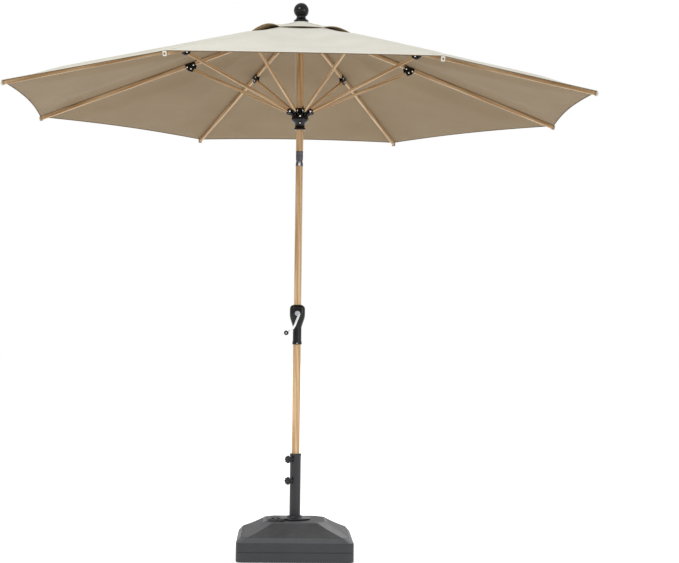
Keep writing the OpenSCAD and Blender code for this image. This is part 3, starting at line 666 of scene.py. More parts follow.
flange_profile = fillet([(25.15, 163.2), (68, 163.2), (71, 166), (70.6, 170.4), (67.4, 172), (63, 171.2),
                         (40, 173.0), (37.4, 173.6), (36.4, 177.4), (34.6, 179), (32, 178.8), (30.8, 176.8),
                         (27.6, 176.2), (25.15, 176.4)],
                        [0, 1.5, 2.4, 2.2, 2.4, 2.2, 1.6, 0.8, 1.6, 1.2, 1.2, 0.8, 1.0, 0], 5)
piece("foot_flange", [(lathe(flange_profile, 96), POWDER_COAT)], "base", ["base_flange"],
      30)


def nut(z):
    """A round welded nut that stands out of the tube towards the clamp."""
    body = lathe([(5.0, 23.5), (9, 23.5), (9, 31.6), (8.2, 33), (5.0, 33)], 32)
    return moved(body, clamp_seat(z))


tube_profile = fillet([(25, 64), (25, 446), (25.6, 449), (26.5, 451), (26.5, 458.4), (25.4, 461),
                       (20.4, 461), (18.6, 459.4), (18.6, 450), (23, 447), (23, 72), (2, 72), (2, 64)],
                      [0, 1.2, 1, 1, 1.8, 1.4, 1.2, 1, 1, 1, 0, 0, 0], 4)
piece("base_tube_steel", [(lathe(tube_profile, 72), POWDER_COAT), (nut(UPPER_CLAMP_Z), POWDER_COAT),
                          (nut(LOWER_CLAMP_Z), POWDER_COAT)],
      "base", ["base_tube"], 32)


def clamp_knob(name, z):
    """A lobed knob: outline radius 16.2 + 1.6 cos 8a with rounded edges, on a collar and a threaded stud,
    with a shallow disc in the middle of its face."""
    a = np.linspace(0, 2 * math.pi, 128, endpoint=False)
    r = 16.2 + 1.6 * np.cos(8 * a)
    head = moved(slab(np.stack([r * np.cos(a), r * np.sin(a)], -1), 13.4, 2.6, 5), at(0, 0, 41))
    rise = np.arange(22) / 21
    thread = [(4.9 - 0.45 * (i % 2), 20.8 + (38 - 20.8) * t) for i, t in enumerate(rise)]
    stud = turned_solid([(0, 20.8)] + thread + [(0, 38)], 24)
    collar = turned_solid([(0, 36), (8.6, 36), (9, 36.6), (9, 40.4), (10.6, 42.4), (0, 42.6)], 36)
    disc = turned_solid([(0, 53.8), (10.2, 53.8), (10.2, 54.9), (9.6, 55.6), (8.2, 55.7), (7.4, 55.0),
                         (0, 55.0)], 40)
    finishes = ((head, KNOB_BLACK), (stud, BRIGHT_STEEL), (collar, KNOB_BLACK), (disc, KNOB_BLACK))
    parts = [(moved(part, clamp_seat(z)), finish) for part, finish in finishes]
    return piece(name, parts, name, [name], 40)


clamp_knob("upper_clamp_knob", UPPER_CLAMP_Z)
clamp_knob("lower_clamp_knob", LOWER_CLAMP_Z)


def fill_cap():
    """A threaded cap sunk in its ring: a rim, a dished floor and a grip bar across it with rounded ends
    and sloping sides, set at an angle to the tank's walls."""
    rim = fillet([(0, 166.2), (29, 166.2), (29, 175.2), (27.6, 176.8), (24.6, 176.8), (23.4, 175.6),
                  (22.6, 170.4), (0, 169.4)], [0, 0.6, 1.4, 1.2, 1.2, 1.0, 1.4, 0], 4)
    shell = turned_solid(rim, 72)
    plug = turned_solid([(0, 150), (22, 150), (23, 151), (23, 166.4), (0, 166.4)], 40)
    sections = []
    for x, half_w, top in zip([-23.4, -21, -8, 0, 8, 21, 23.4], [2.4, 4, 3.6, 3.4, 3.6, 4, 2.4],
                              [172, 176, 176.4, 176.4, 176.4, 176, 172]):
        outline = fillet([(half_w + 1.2, 169), (half_w, top), (-half_w, top), (-half_w - 1.2, 169)],
                         [0, 1.4, 1.4, 0], 4)
        sections.append(np.column_stack([np.full(len(outline), x), outline]))
    grip = loft(sections)
    slot = slab(fillet([(-7, -2.4), (7, -2.4), (5, 2.4), (-5, 2.4)], 1.6, 4, closed=True), 1.6, 0.5, 2)
    slots = [moved(slot, at(0, s * 13.5, 169.4) @ turned("z", 0 if s < 0 else math.pi)) for s in (-1, 1)]
    place = turned("z", CLAMP_AZ) @ at(CAP_OFFSET, 0, 0)
    bar_turn = turned("z", math.radians(45 + 20))
    parts = [(moved(shell, place), KNOB_BLACK), (moved(plug, place), RUBBER),
             (moved(grip, place @ bar_turn), KNOB_BLACK)]
    parts += [(moved(s, place @ bar_turn), GLOSS_BLACK) for s in slots]
    return piece("fill_cap", parts, "fill_cap", ["fill_cap"], 35)


fill_cap()


# ---- Pole ----

def pole(name, r, z0, z1, body, node):
    """A drawn tube from z0 to z1 with eased rims, its grain along its length."""
    inner = r - WALL
    section = fillet([(r, z0), (r, z1), (inner, z1), (inner, z0)], 0.7, 3, closed=True)
    middle = np.stack([np.full(24, r), np.linspace(z0 + 2, z1 - 2, 24)], -1)
    start = int(np.argmax(section[:, 1] > z0 + 2))
    made = lathe(np.concatenate([section[:start], middle, section[start:]]), 64)
    p = made["points"]
    made["grain"] = np.stack([p[:, 2], p[:, 0], p[:, 1]], -1)
    return piece(name, [(made, POLE_WOOD)], body, [node], 40)


pole("lower_pole_tube", LOWER_R, POLE_FOOT_Z, POLE_SPLIT_Z, "lower_pole", "pole_lower")
pole("middle_pole_tube", POLE_R, POLE_SPLIT_Z, YOKE_FOOT_Z, "upper_section", "pole_middle")
pole("upper_pole_tube", POLE_R, TONGUE_TOP_Z, POLE_TOP_Z, "tilt_head", "pole_upper")


# ---- Crank housing, handle and knob ----

HOUSING_Z = np.array([-70, -66, -58, -48, -36, -24, -14, 0, 12, 22, 29, 34, 37, 38.6, 39])
HOUSING_W = np.array([19.5, 19.6, 21.4, 24.6, 28.8, 32.6, 34.6, 35, 35, 34.8, 33.2, 29.6, 25, 21, 18.4])
HOUSING_D = np.array([19.5, 19.6, 20.6, 22.2, 24.4, 26.4, 27.6, 28, 28, 27.8, 26.8, 24.8, 22.4, 19.8, 18.2])
HOUSING_N = np.array([2.0, 2.0, 2.1, 2.3, 2.6, 2.9, 3.1, 3.2, 3.2, 3.1, 3.0, 2.8, 2.5, 2.3, 2.2])


def housing_shell(side):
    """Half of the crank housing: at each height a superellipse |x/w|^n + |y/d|^n = 1, kept to one side
    of the split, with w, d and n following the shoulders' outline."""
    steps = np.linspace(0, len(HOUSING_Z) - 1, 57)
    index = np.arange(len(HOUSING_Z))
    z, w, d, n = (np.interp(steps, index, v)[:, None] for v in (HOUSING_Z, HOUSING_W, HOUSING_D, HOUSING_N))
    a = np.linspace(0, math.pi, 49)[None, :]
    x = w * np.sign(np.cos(a)) * np.abs(np.cos(a)) ** (2 / n)
    y = np.maximum(d * np.abs(np.sin(a)) ** (2 / n), 0.15)
    rings = np.stack([x * side, y * side, np.broadcast_to(z + CRANK_Z, x.shape)], -1)
    return loft(rings)


ring_boss = lathe(fillet([(12, 20), (20.5, 20), (20.5, 33.6), (18.6, 36), (14.2, 36), (12, 34.2)],
                         [0, 0, 2.2, 1.2, 1.6, 0], 5), 64)
boss_floor = turned_solid([(0, 26), (12.4, 26), (12.4, 33), (0, 33)], 40)
front_parts = [(housing_shell(-1), GLOSS_BLACK)]
for part in (ring_boss, boss_floor):
    front_parts.append((moved(part, at(0, 0, CRANK_Z) @ FACE_FRONT), GLOSS_BLACK))
piece("crank_housing_front_shell", front_parts, "upper_section", ["crank_housing_front"],
      40)

rear_parts = [(housing_shell(1), GLOSS_BLACK)]
for x, z in ((-24, 22), (24, 22), (-22, -20), (22, -20)):
    well = lathe([(3.4, 0), (5.6, 0), (5.6, 2.6), (4.9, 3.2), (3.8, 3.2), (3.4, 2.4)], 28)
    seat = at(x, 23.4 if z > 0 else 22.6, CRANK_Z + z) @ FACE_BACK
    rear_parts += [(moved(well, seat), GLOSS_BLACK), (moved(screw(3.5, 2.2), seat), BRIGHT_STEEL)]
piece("crank_housing_rear_shell", rear_parts, "upper_section", ["crank_housing_rear"], 40)

sleeve = fillet([(17.65, 958), (21.5, 958), (21.5, 966), (20.6, 972), (19.5, 976), (19.5, 1035),
                 (17.65, 1035)],
                [0, 1.2, 2, 2, 3, 0, 0], 5)
notch = moved(screw(2.8, 2.0), at(0, -20.6, 963) @ FACE_FRONT)
piece("crank_sleeve", [(lathe(sleeve, 72), GLOSS_BLACK), (notch, BRIGHT_STEEL)], "upper_section")


def crank_arm():
    """A flat steel arm from the hub, past one bend, to the knob's rivet: its centre line is rounded at
    the bend, and its outline lies half the arm's width to each side of it."""
    line = fillet([(8, -4), (-17, -69), (-49, -90)], [0, 20, 0], 10)
    line = np.concatenate([np.linspace(line[0], line[1], 8)[:-1], line[1:-1],
                           np.linspace(line[-2], line[-1], 8)[1:]])
    ahead = np.gradient(line, axis=0)
    ahead /= np.linalg.norm(ahead, axis=1, keepdims=True)
    left = np.stack([-ahead[:, 1], ahead[:, 0]], -1)
    half = 4.6
    a = np.linspace(0, math.pi, 11)[1:-1][:, None]
    end = line[-1] + half * (-left[-1] * np.cos(a) + ahead[-1] * np.sin(a))
    start = line[0] + half * (left[0] * np.cos(a) - ahead[0] * np.sin(a))
    outline = np.concatenate([line - half * left, end, (line + half * left)[::-1], start])
    strip = slab(outline, 5, 1.0, 3)
    hub = turned_solid(fillet([(0, 36.4), (12.4, 36.4), (12.4, 40), (11, 42.6), (11.6, 44.6), (11.6, 47.2),
                               (10.4, 48.2), (4.6, 48.2), (4.2, 47.0), (0, 47.0)],
                               [0, 0.8, 1, 1, 0.6, 0.8, 0.8, 0.4, 0.4, 0], 3), 48)
    rivet = turned_solid([(0, 44), (3, 44), (3, 80), (2.4, 81), (0, 81.2)], 24)
    shaft = turned_solid([(0, -4), (4, -4), (4, 37), (0, 37)], 24)
    face = at(0, 0, CRANK_Z) @ FACE_FRONT
    parts = [(moved(strip, face @ at(0, 0, 43)), BRIGHT_STEEL), (moved(hub, face), SPOOL_STEEL),
             (moved(rivet, face @ at(-50, -90, 0)), BRIGHT_STEEL), (moved(shaft, face), BRIGHT_STEEL)]
    return piece("crank_arm", parts, "crank", ["crank_handle"], 40)


crank_arm()

knob_profile = fillet([(4.1, 48.5), (8, 48.5), (9.8, 51), (11, 56), (10.4, 64), (11, 72), (9.8, 77),
                       (8, 78.5), (5.2, 78.5), (4.1, 77.6)], [0, 1.2, 2, 4, 5, 4, 2, 1.2, 0.8, 0], 5)
piece("crank_knob_grip", [(moved(lathe(knob_profile, 48), at(-50, 0, CRANK_Z - 90) @ FACE_FRONT),
                           GLOSS_BLACK)],
      "crank_knob", ["crank_knob"], 40)

# ---- Tilt joint ----


def knuckle_yoke():
    """The lower half: a round collar on the pole whose two cheeks rise each side of the tongue as wide as
    the pole and end in half circles about the pin, with a raised band round its foot and an arched window
    for the button."""
    collar = lathe(fillet([(9, YOKE_FOOT_Z), (16.5, YOKE_FOOT_Z), (16.5, 1793.6), (9, 1793.6)],
                          [0, 1.2, 0.8, 0], 3), 64)
    foot_band = lathe(fillet([(15, 1776.6), (17.2, 1776.6), (17.2, 1781.4), (15, 1781.4)],
                             [0, 0.7, 0.7, 0], 3), 64)
    parts = [(collar, CAST_METAL), (foot_band, CAST_METAL)]
    for s in (-1, 1):
        # A cheek at height z: |x| up to w, 14.6 or the half circle's, and y from 7.5 out to the round.
        t = np.linspace(0, 1, 12)
        heights = np.concatenate([np.linspace(1793.4, TILT_Z, 6)[:-1],
                                  TILT_Z + 16.2 * np.sin(t * math.pi / 2)])
        rings = []
        for z in heights:
            w = math.sqrt(max(16.4 ** 2 - max(z - TILT_Z, 0) ** 2, 4.0))
            w = min(w, 14.6)
            x = np.linspace(-w, w, 17)
            y = np.sqrt(np.maximum(16.5 ** 2 - x ** 2, 7.55 ** 2))
            outline = np.concatenate([np.stack([x, y], -1), np.stack([x[::-1], np.full(17, 7.5)], -1)])
            rings.append(np.column_stack([outline, np.full(34, z)])[::-1])
        cheek = loft(rings)
        parts.append((cheek if s > 0 else moved(cheek, turned("z", math.pi)), CAST_METAL))
    window = fillet([(-4.4, -10.5), (4.4, -10.5), (4.4, 6), (0, 11), (-4.4, 6)], [1.5, 1.5, 3, 4, 3], 5,
                    closed=True)
    parts.append((moved(slab(window, 1.8, 0.6, 2), at(0, -15.4, BUTTON_Z) @ FACE_FRONT), BRIGHT_STEEL))
    return piece("tilt_yoke_casting", parts, "upper_section", ["tilt_yoke"], 35)


knuckle_yoke()


def knuckle_tongue():
    """The upper half: a solid tongue 14.4 mm thick between the cheeks, rounded about the pin and as wide as
    the pole above it, under a round collar with a bead round its top."""
    a = np.linspace(math.pi, 2 * math.pi, 33)
    outline = np.concatenate([[(-16.2, 20)], 16.2 * np.stack([np.cos(a), np.sin(a)], -1), [(16.2, 20)]])
    tongue = moved(slab(outline, 14.4, 0.8, 3), at(0, 7.2, TILT_Z) @ FACE_FRONT)
    collar = lathe(fillet([(9, 1827.2), (16.4, 1827.2), (16.4, TONGUE_TOP_Z), (9, TONGUE_TOP_Z)],
                          [0, 1.0, 1.2, 0], 3), 64)
    rim = fillet([(15, 1839.4), (17.0, 1839.4), (17.0, 1844.2), (15, 1844.2)], [0, 0.7, 0.7, 0], 3)
    bead = lathe(rim, 64)
    return piece("tilt_tongue_casting", [(tongue, CAST_METAL), (collar, CAST_METAL), (bead, CAST_METAL)],
                 "tilt_head", ["tilt_tongue"], 35)


knuckle_tongue()

pin = turned_solid(fillet([(0, -14.6), (3.6, -14.6), (4, -14), (4, 14), (3.6, 14.6), (0, 14.6)],
                          [0, 0.5, 0.4, 0.4, 0.5, 0], 3), 28)
piece("tilt_pin_rivet", [(moved(pin, at(0, 0, TILT_Z) @ FACE_FRONT), GLOSS_BLACK)], "upper_section",
      ["tilt_pin"], 40)

button = turned_solid(fillet([(0, 7.2), (4.7, 7.2), (4.7, 16.2), (3.8, 17.2), (2.6, 16.9), (0, 16.8)],
                             [0, 0.3, 0.8, 0.8, 0.4, 0], 3), 36)
piece("tilt_button_cap", [(moved(button, at(0, 0, BUTTON_Z) @ FACE_FRONT), BRIGHT_STEEL)], "tilt_button",
      ["tilt_button"], 40)

# ---- Runner ----


def runner():
    """The runner's body of revolution, with eight pairs of ears that spread from its shoulder to the
    struts' hinges, screw studs in the ears and two set screws in its front."""
    body = fillet([(17.55, 1943), (25, 1943), (26, 1944.5), (26, 1950), (23, 1954), (21.6, 1962),
                   (23.5, 1972), (34, 1980), (38.6, 1987), (38.6, 2000), (36, 2009), (30, 2020),
                   (21, 2028), (18.9, 2032), (18.9, 2043), (17.55, 2043)],
                  [0, 1, 1.5, 2.5, 4, 5, 6, 4, 4, 5, 6, 6, 3, 2, 0.8, 0], 5)
    # An ear: an arm that rises from the shoulder to a round lobe 24 mm across about the pin.
    a = np.radians(np.linspace(-118, 150, 22))
    lobe = np.stack([HINGE_R + 12 * np.cos(a), 12 * np.sin(a)], -1)
    ear = np.concatenate([fillet([(24, -26), (36, -22), lobe[0]], [0, 5, 0], 5)[:-1], lobe,
                          [(34, 3), (22, -4)]])
    lug = slab(ear, 3.4, 0.9, 3)
    web = slab(fillet([(26, -3), (36, -3), (36, 3), (26, 3)], 1, 2, closed=True), 26, 1.2, 2)
    parts = [(lathe(body, 96), GLOSS_BLACK)]
    for k in range(1, RIBS + 1):
        for s in (-1, 1):
            seat = radial(k) @ at(0, s * 5.55 + (3.4 if s > 0 else 0), RUNNER_Z) @ FACE_FRONT
            parts.append((moved(lug, seat), GLOSS_BLACK))
            turn = FACE_FRONT if s < 0 else FACE_BACK
            parts.append((moved(screw(5.6, 2.8, 0.3), radial(k) @ at(HINGE_R, s * 8.9, RUNNER_Z) @ turn),
                          BRIGHT_STEEL))
        parts.append((moved(web, radial(k) @ at(0, 0, 1988)), GLOSS_BLACK))
    for z, out in ((2004, 37.2), (1975, 24.4)):
        parts.append((moved(screw(4.2, 2.4, 0.35), at(0, -out, z) @ FACE_FRONT), BRIGHT_STEEL))
    hook = fillet([(-3, 0), (3, 0), (3, 9), (0, 12), (-3, 9)], [0, 0, 2, 3, 2], 4, closed=True)
    parts.append((moved(slab(hook, 2.4, 0.6, 2), at(13, -15, 2041) @ FACE_FRONT), GLOSS_BLACK))
    anchor = lathe(fillet([(1.7, 2012), (5.2, 2012), (5.2, 2040), (3.6, 2043), (1.7, 2043)],
                          [0, 0, 1, 1, 0], 3), 24)
    parts.append((moved(anchor, at(-24, 0, 0)), GLOSS_BLACK))
    return piece("runner_body", parts, "runner", ["runner_hub", "runner_hinge_pins"], 38)


runner()

# ---- Finial ----


def finial():
    """A turned ball, from -52 to 89 degrees of a circle of radius 35, on a waisted neck and a flared foot."""
    z0 = VENT_TOP_Z + 3
    t = np.radians(np.linspace(-52, 89, 40))
    ball = [(35 * math.cos(x), z0 + 51 + 35 * math.sin(x)) for x in t]
    foot = fillet([(0, z0), (34.4, z0), (35, z0 + 1.6), (33.4, z0 + 4.6), (26, z0 + 10), (21.2, z0 + 19),
                   (ball[0][0], ball[0][1])], [0, 0.6, 1.2, 2.4, 6, 6, 0], 6)
    profile = np.concatenate([foot, ball[1:], [(0, z0 + 86)]])
    stem = turned_solid([(0, 2437), (8, 2437), (8, z0 + 1), (0, z0 + 1)], 24)
    return piece("finial_ball", [(turned_solid(profile, 96), GLOSS_BLACK), (stem, GLOSS_BLACK)],
                 "tilt_head", ["finial"], 40)


finial()

# ---- Ribs, their fittings, and struts ----


def bracket_block():
    """The casting under a rib: a saddle that wraps the rib's lower half, with a waisted plan, and two
    ears down to the strut's pin."""
    saddle = []
    for x, w in zip(np.linspace(-25, 25, 13), 9.4 - 1.6 * np.cos(np.linspace(-math.pi, math.pi, 13)) * 0.5):
        outline = fillet([(w, -11), (w, 6.4), (6.2, 7.4), (6.2, -8.6), (-6.2, -8.6), (-6.2, 7.4),
                          (-w, 6.4), (-w, -11)],
                         [2.4, 1.6, 0.6, 0.6, 0.6, 0.6, 1.6, 2.4], 3, closed=True)
        saddle.append(np.column_stack([np.full(len(outline), x), outline]))
    heart = fillet([(-25, -4), (-25, -10), (-18, -24), (-7, -33), (7, -33), (18, -24), (25, -10), (25, -4)],
                   [1, 4, 6, 6, 6, 6, 4, 1], 5, closed=True)
    ear = slab(heart, 3.4, 0.9, 3)
    shapes = [loft(saddle)]
    for s in (-1, 1):
        shapes.append(moved(ear, at(0, s * 5.6 + (3.4 if s > 0 else 0), 0) @ FACE_FRONT))
    return joined(*shapes)


def eye_end():
    """The rib's root: a flat steel tongue round the crown's pin, let into the rib."""
    outline = fillet([(30, -5), (30, 5), (4, 5.6), (-6.6, 3.4), (-6.6, -3.4), (4, -5.6)],
                     [0.5, 0.5, 4, 4, 4, 4], 6, closed=True)
    return moved(slab(outline, 6, 0.6, 2), at(0, 3, 0) @ FACE_FRONT)


bracket = bracket_block()
rib_bar = moved(bar(RIB_LEN - 22, RIB_W, RIB_H, 3.4), at(22, 0, 0))
pin_heads = [moved(screw(4.5, 2.6, 0.35), at(BRACKET_X + x, s * y, z) @ face)
             for s, face in ((-1, FACE_FRONT), (1, FACE_BACK))
             for x, y, z in ((0, 9.0, -BRACKET_DROP), (-17, 9.1, -7), (17, 9.1, -7))]
TIP = turned("y", math.pi / 2) @ turned("z", math.pi / 2)  # Turns +Z out along the rib.


def tip_plate(half_w, corner, thick, x):
    """A plate across the rib's tip at x, up to 9 mm above its middle, with rounded corners."""
    corners = [(-half_w, -half_w - 2.8), (half_w, -half_w - 2.8), (half_w, 9), (-half_w, 9)]
    return moved(slab(fillet(corners, corner, 4, closed=True), thick, 1.0, 3), at(x, 0, 0) @ TIP)


cap_cup = tip_plate(7.4, 2, 10, RIB_LEN - 8.4)
cap_face = tip_plate(8.4, 2.4, 2.8, RIB_LEN + 1.2)
cap_screw = moved(screw(4.0, 1.2, 0.5), at(RIB_LEN + 3.6, 0, -1) @ TIP)

drop_r = CROWN_R + BRACKET_X * math.cos(SLOPE) - BRACKET_DROP * math.sin(SLOPE)
drop_z = CROWN_Z - BRACKET_X * math.sin(SLOPE) - BRACKET_DROP * math.cos(SLOPE)
STRUT_LEN = math.hypot(drop_r - HINGE_R, drop_z - RUNNER_Z)
STRUT_ANGLE = math.atan2(drop_z - RUNNER_Z, drop_r - HINGE_R)


def strut_bar():
    """A slim bar whose two ends are rounded about their pins. The steel ferrule in each end is added with
    each strut.
    """
    half = STRUT_H / 2
    a = np.linspace(-math.pi / 2, math.pi / 2, 15)
    right = np.stack([STRUT_LEN + half * np.cos(a), half * np.sin(a)], -1)
    left = np.stack([-half * np.cos(a), -half * np.sin(a)], -1)
    top = np.stack([np.linspace(STRUT_LEN, 0, 42)[1:-1], np.full(40, half)], -1)
    low = np.stack([np.linspace(0, STRUT_LEN, 42)[1:-1], np.full(40, -half)], -1)
    outline = np.concatenate([right, top, left, low])
    return moved(slab(outline, STRUT_W, 2.2, 4), at(0, STRUT_W / 2, 0) @ FACE_FRONT)


strut_wood = strut_bar()
strut_grain = strut_wood["points"].copy()

for k in range(1, RIBS + 1):
    body = f"rib_{k}"
    frame_k = along_rib(k)
    offset = np.array([370.0 * k, 31.0 * k, 17.0 * k])
    wood_k = moved(rib_bar, frame_k)
    wood_k["grain"] = rib_bar["points"] + offset
    piece(f"rib_bar_{k}", [(wood_k, HONEY_WOOD), (moved(eye_end(), frame_k), SPOOL_STEEL)], body,
          [f"rib_{k}"], 40)
    parts = [(moved(bracket, frame_k @ at(BRACKET_X, 0, 0)), GLOSS_BLACK)]
    parts += [(moved(head, frame_k), BRIGHT_STEEL) for head in pin_heads]
    parts += [(moved(cap_cup, frame_k), END_CUP), (moved(cap_face, frame_k), END_CAP),
              (moved(cap_screw, frame_k), GLOSS_BLACK)]
    piece(f"rib_metalwork_{k}", parts, body, [f"rib_fittings_{k}"], 38)
    strut_frame = radial(k) @ at(HINGE_R, 0, RUNNER_Z) @ turned("y", -STRUT_ANGLE)
    strut_k = moved(strut_wood, strut_frame)
    strut_k["grain"] = strut_grain + offset * 1.7
    ferrules = []
    for x in (0, STRUT_LEN):
        ring = lathe(fillet([(2.6, -5.2), (4.6, -5.2), (4.6, 5.2), (2.6, 5.2)], 0.4, 2, closed=True), 24)
        ferrules.append((moved(ring, strut_frame @ at(x, 0, 0) @ FACE_FRONT), BRIGHT_STEEL))
    piece(f"strut_bar_{k}", [(strut_k, HONEY_WOOD)] + ferrules, f"strut_{k}", [f"strut_{k}"],
          40)


# ---- Canopy ----

ACROSS = np.array([0, 0.004, 0.012, 0.03, 0.06, 0.1, 0.15, 0.2, 0.27, 0.34, 0.42, 0.5, 0.58, 0.66, 0.74,
                   0.82, 0.9, 0.96, 1.0])
ACROSS = np.concatenate([-ACROSS[:0:-1], ACROSS])
CLOTH_T = 0.9


def cloth_z(r):
    """Height of the stretched cloth's underside over a rib, at radius r."""
    return CROWN_Z - (r - CROWN_R) * math.tan(SLOPE) + CLOTH_LIFT


def panel_point(r, z, v, sag, pull, rise):
    """Point of the cloth for ring radius r over the rib and share v from the rib to mid-panel. The ring is
    the chord between two ribs, r cos(p) / cos(p - |v| p) from the axis with p half a panel's angle; it sags
    by sag, is pulled in to the crown by pull, and rises by rise, all by 2|v| - v^2 at mid-panel. Beyond the
    vent and short of the hem it lies flat across the rib for 75 mm to each side, to cover the folded rib."""
    bow = 2 * np.abs(v) - v ** 2
    pulled = r * (1 - pull * bow)
    angle = v * HALF_PANEL
    reach = pulled * math.cos(HALF_PANEL) / np.cos(HALF_PANEL - np.abs(angle))
    height = z + pull * bow * r * math.tan(SLOPE) - sag * bow + rise * bow
    beside = np.abs(reach * np.sin(angle))
    flat = np.clip((215 - beside) / 140, 0, 1)
    flat = flat * np.clip((r - 250) / 200, 0, 1) * np.clip((1330 - r) / 150, 0, 1)
    height = height + flat ** 2 * (3 - 2 * flat) * ((r - reach * np.cos(angle)) * math.tan(SLOPE) + sag * bow)
    return np.stack([reach * np.cos(angle), reach * np.sin(angle), height], -1)


def cloth_shell(points, along, offset_low, offset_high):
    """A closed shell round a grid of points: the grid moved by offset_low and offset_high along its own
    normals, joined round its rim. Its cloth coordinates are the length along the rib and the width
    from the seam, so threads and stitches keep their size."""
    du = np.gradient(points, axis=0)
    dv = np.gradient(points, axis=1)
    normal = np.cross(du, dv)
    normal /= np.linalg.norm(normal, axis=2, keepdims=True)
    # Neighbouring shares meet at mid-panel and over the rib, so there the normal has no sideways part.
    for j, a in ((0, -HALF_PANEL), (-1, HALF_PANEL), (points.shape[1] // 2, 0.0)):
        side = np.array([-math.sin(a), math.cos(a), 0.0])
        normal[:, j] -= (normal[:, j] @ side)[:, None] * side
        normal[:, j] /= np.linalg.norm(normal[:, j], axis=1, keepdims=True)
    rows, cols = points.shape[:2]
    top = (points + normal * offset_high).reshape(-1, 3)
    low = (points + normal * offset_low).reshape(-1, 3)
    n = rows * cols
    local = np.column_stack([np.repeat(along, cols), points[:, :, 1].ravel(), np.zeros(n)])
    grid = grid_faces(rows, cols)
    upper, lower = shape(top, grid, local), shape(low, [f[::-1] for f in grid], local)
    edge = ([i * cols for i in range(rows)] + [(rows - 1) * cols + j for j in range(1, cols)]
            + [i * cols + cols - 1 for i in range(rows - 2, -1, -1)] + [j for j in range(cols - 2, 0, -1)])
    ring = [[i, j, j + n, i + n] for i, j in zip(edge, edge[1:] + edge[:1])]
    rim = shape(np.concatenate([top, low]), [f[::-1] for f in ring], np.concatenate([local, local]))
    return upper, lower, rim


def cloth_tier(radii, z_of, sag_of, pull_of, rise_of, hem_width, under):
    """One share of a tier of the canopy: the cloth, a hem folded over at its outer edge, a binding cord in
    the hem and the felled seam over the rib. Its rise may differ on the seam's two sides."""

    def layer(rings, low, high):
        """The points over the rings, and a sheet of cloth that lies from low to high above them."""
        r = rings[:, None] * np.ones(len(ACROSS))
        v = np.ones(len(rings))[:, None] * ACROSS
        points = panel_point(r, z_of(r), v, sag_of(r), pull_of(r), rise_of(r, v))
        upper, lower, rim = cloth_shell(points, (rings - radii[0]) / math.cos(SLOPE), low, high)
        # The underside takes the finish under: a copy of the canvas coloured with painted shade and painted
        # glow.
        return points, [(upper, CLOTH_TOP), (lower, under), (rim, HEM_TOP)]

    _, parts = layer(radii, 0.0, CLOTH_T)
    # The hem: the last rings again, thicker by a turn of cloth above and below.
    hem_rings = np.linspace(radii[-1] - hem_width, radii[-1] + 0.6, 6)
    hem, hem_parts = layer(hem_rings, -0.8, CLOTH_T + 0.8)
    parts += hem_parts
    # The binding cord along the edge: pale above, and below it a dark cord that is painted shadow of the hem,
    # with its stitching.
    edge = hem[-1] + [0, 0, CLOTH_T / 2]
    for finish, rise in ((HEM_TOP, 0.5), (HEM_UNDER_PAINTED_SHADOW, -1.6)):
        parts.append((sweep(edge + [0, 0, rise], circle(1.9, 12)), finish))
    # The felled seam: a strip 14 mm wide that lies on the cloth over the rib.
    seam_y = np.array([-7.0, -6.4, -3.5, 0, 3.5, 6.4, 7.0])
    lift = np.array([0.0, 0.7, 0.8, 0.9, 0.8, 0.7, 0.0])
    start = int(np.argmax(radii > 70))
    seam_r = radii[start:]
    tilt = z_of(seam_r)[:, None] - np.abs(seam_y) * 0.02
    seam = np.stack([np.broadcast_to(seam_r[:, None], tilt.shape), np.broadcast_to(seam_y, tilt.shape),
                     tilt + CLOTH_T + lift - 0.1], -1)
    local = np.stack([np.broadcast_to((seam_r - radii[0])[:, None] / math.cos(SLOPE), tilt.shape),
                      np.broadcast_to(seam_y, tilt.shape), np.zeros(tilt.shape)], -1).reshape(-1, 3)
    parts.append((shape(seam, grid_faces(len(seam_r), 7), local), CLOTH_TOP))
    return parts


MAIN_R = np.concatenate([np.linspace(60, 1300, 48), [1320, 1340, 1355, 1366, CANOPY_R]])
main_tier = cloth_tier(MAIN_R, cloth_z,
                       lambda r: 7.0 * np.sin(np.clip(r / CANOPY_R, 0, 1) * math.pi) ** 0.8,
                       lambda r: 0.017 * np.clip((r - 500) / (CANOPY_R - 500), 0, 1) ** 2,
                       lambda r, v: 0.0 * r, 24.0, CLOTH_UNDER_PAINTED_SHADE_GLOW)

# The vent's cloth is cut a little full, so each panel's edge arches up by its own height.
VENT_R = np.concatenate([np.linspace(VENT_R_IN, 236, 22), [242, 246, VENT_R_OUT]])
VENT_DROP = (cloth_z(VENT_R_OUT) + 3.5 - VENT_TOP_Z) / (VENT_R_OUT - VENT_R_IN)
VENT_RISE = [13.0, 17.0, 12.0, 19.0, 15.0, 24.0, 3.0, 15.0]  # Of the panel before each rib, from rib 1.


def vent_tier(k):
    """The vent's share over rib k, between a panel with its own rise on each side."""
    before, after = VENT_RISE[k - 1], VENT_RISE[k % RIBS]
    return cloth_tier(VENT_R, lambda r: VENT_TOP_Z + (r - VENT_R_IN) * VENT_DROP, lambda r: 0.0 * r,
                      lambda r: 0.03 * np.clip(r / VENT_R_OUT, 0, 1) ** 3,
                      lambda r, v: np.where(v < 0, before, after) * np.clip((r - 90) / 160, 0, 1) ** 1.8,
                      14.0, VENT_UNDER_PAINTED_GLOW)


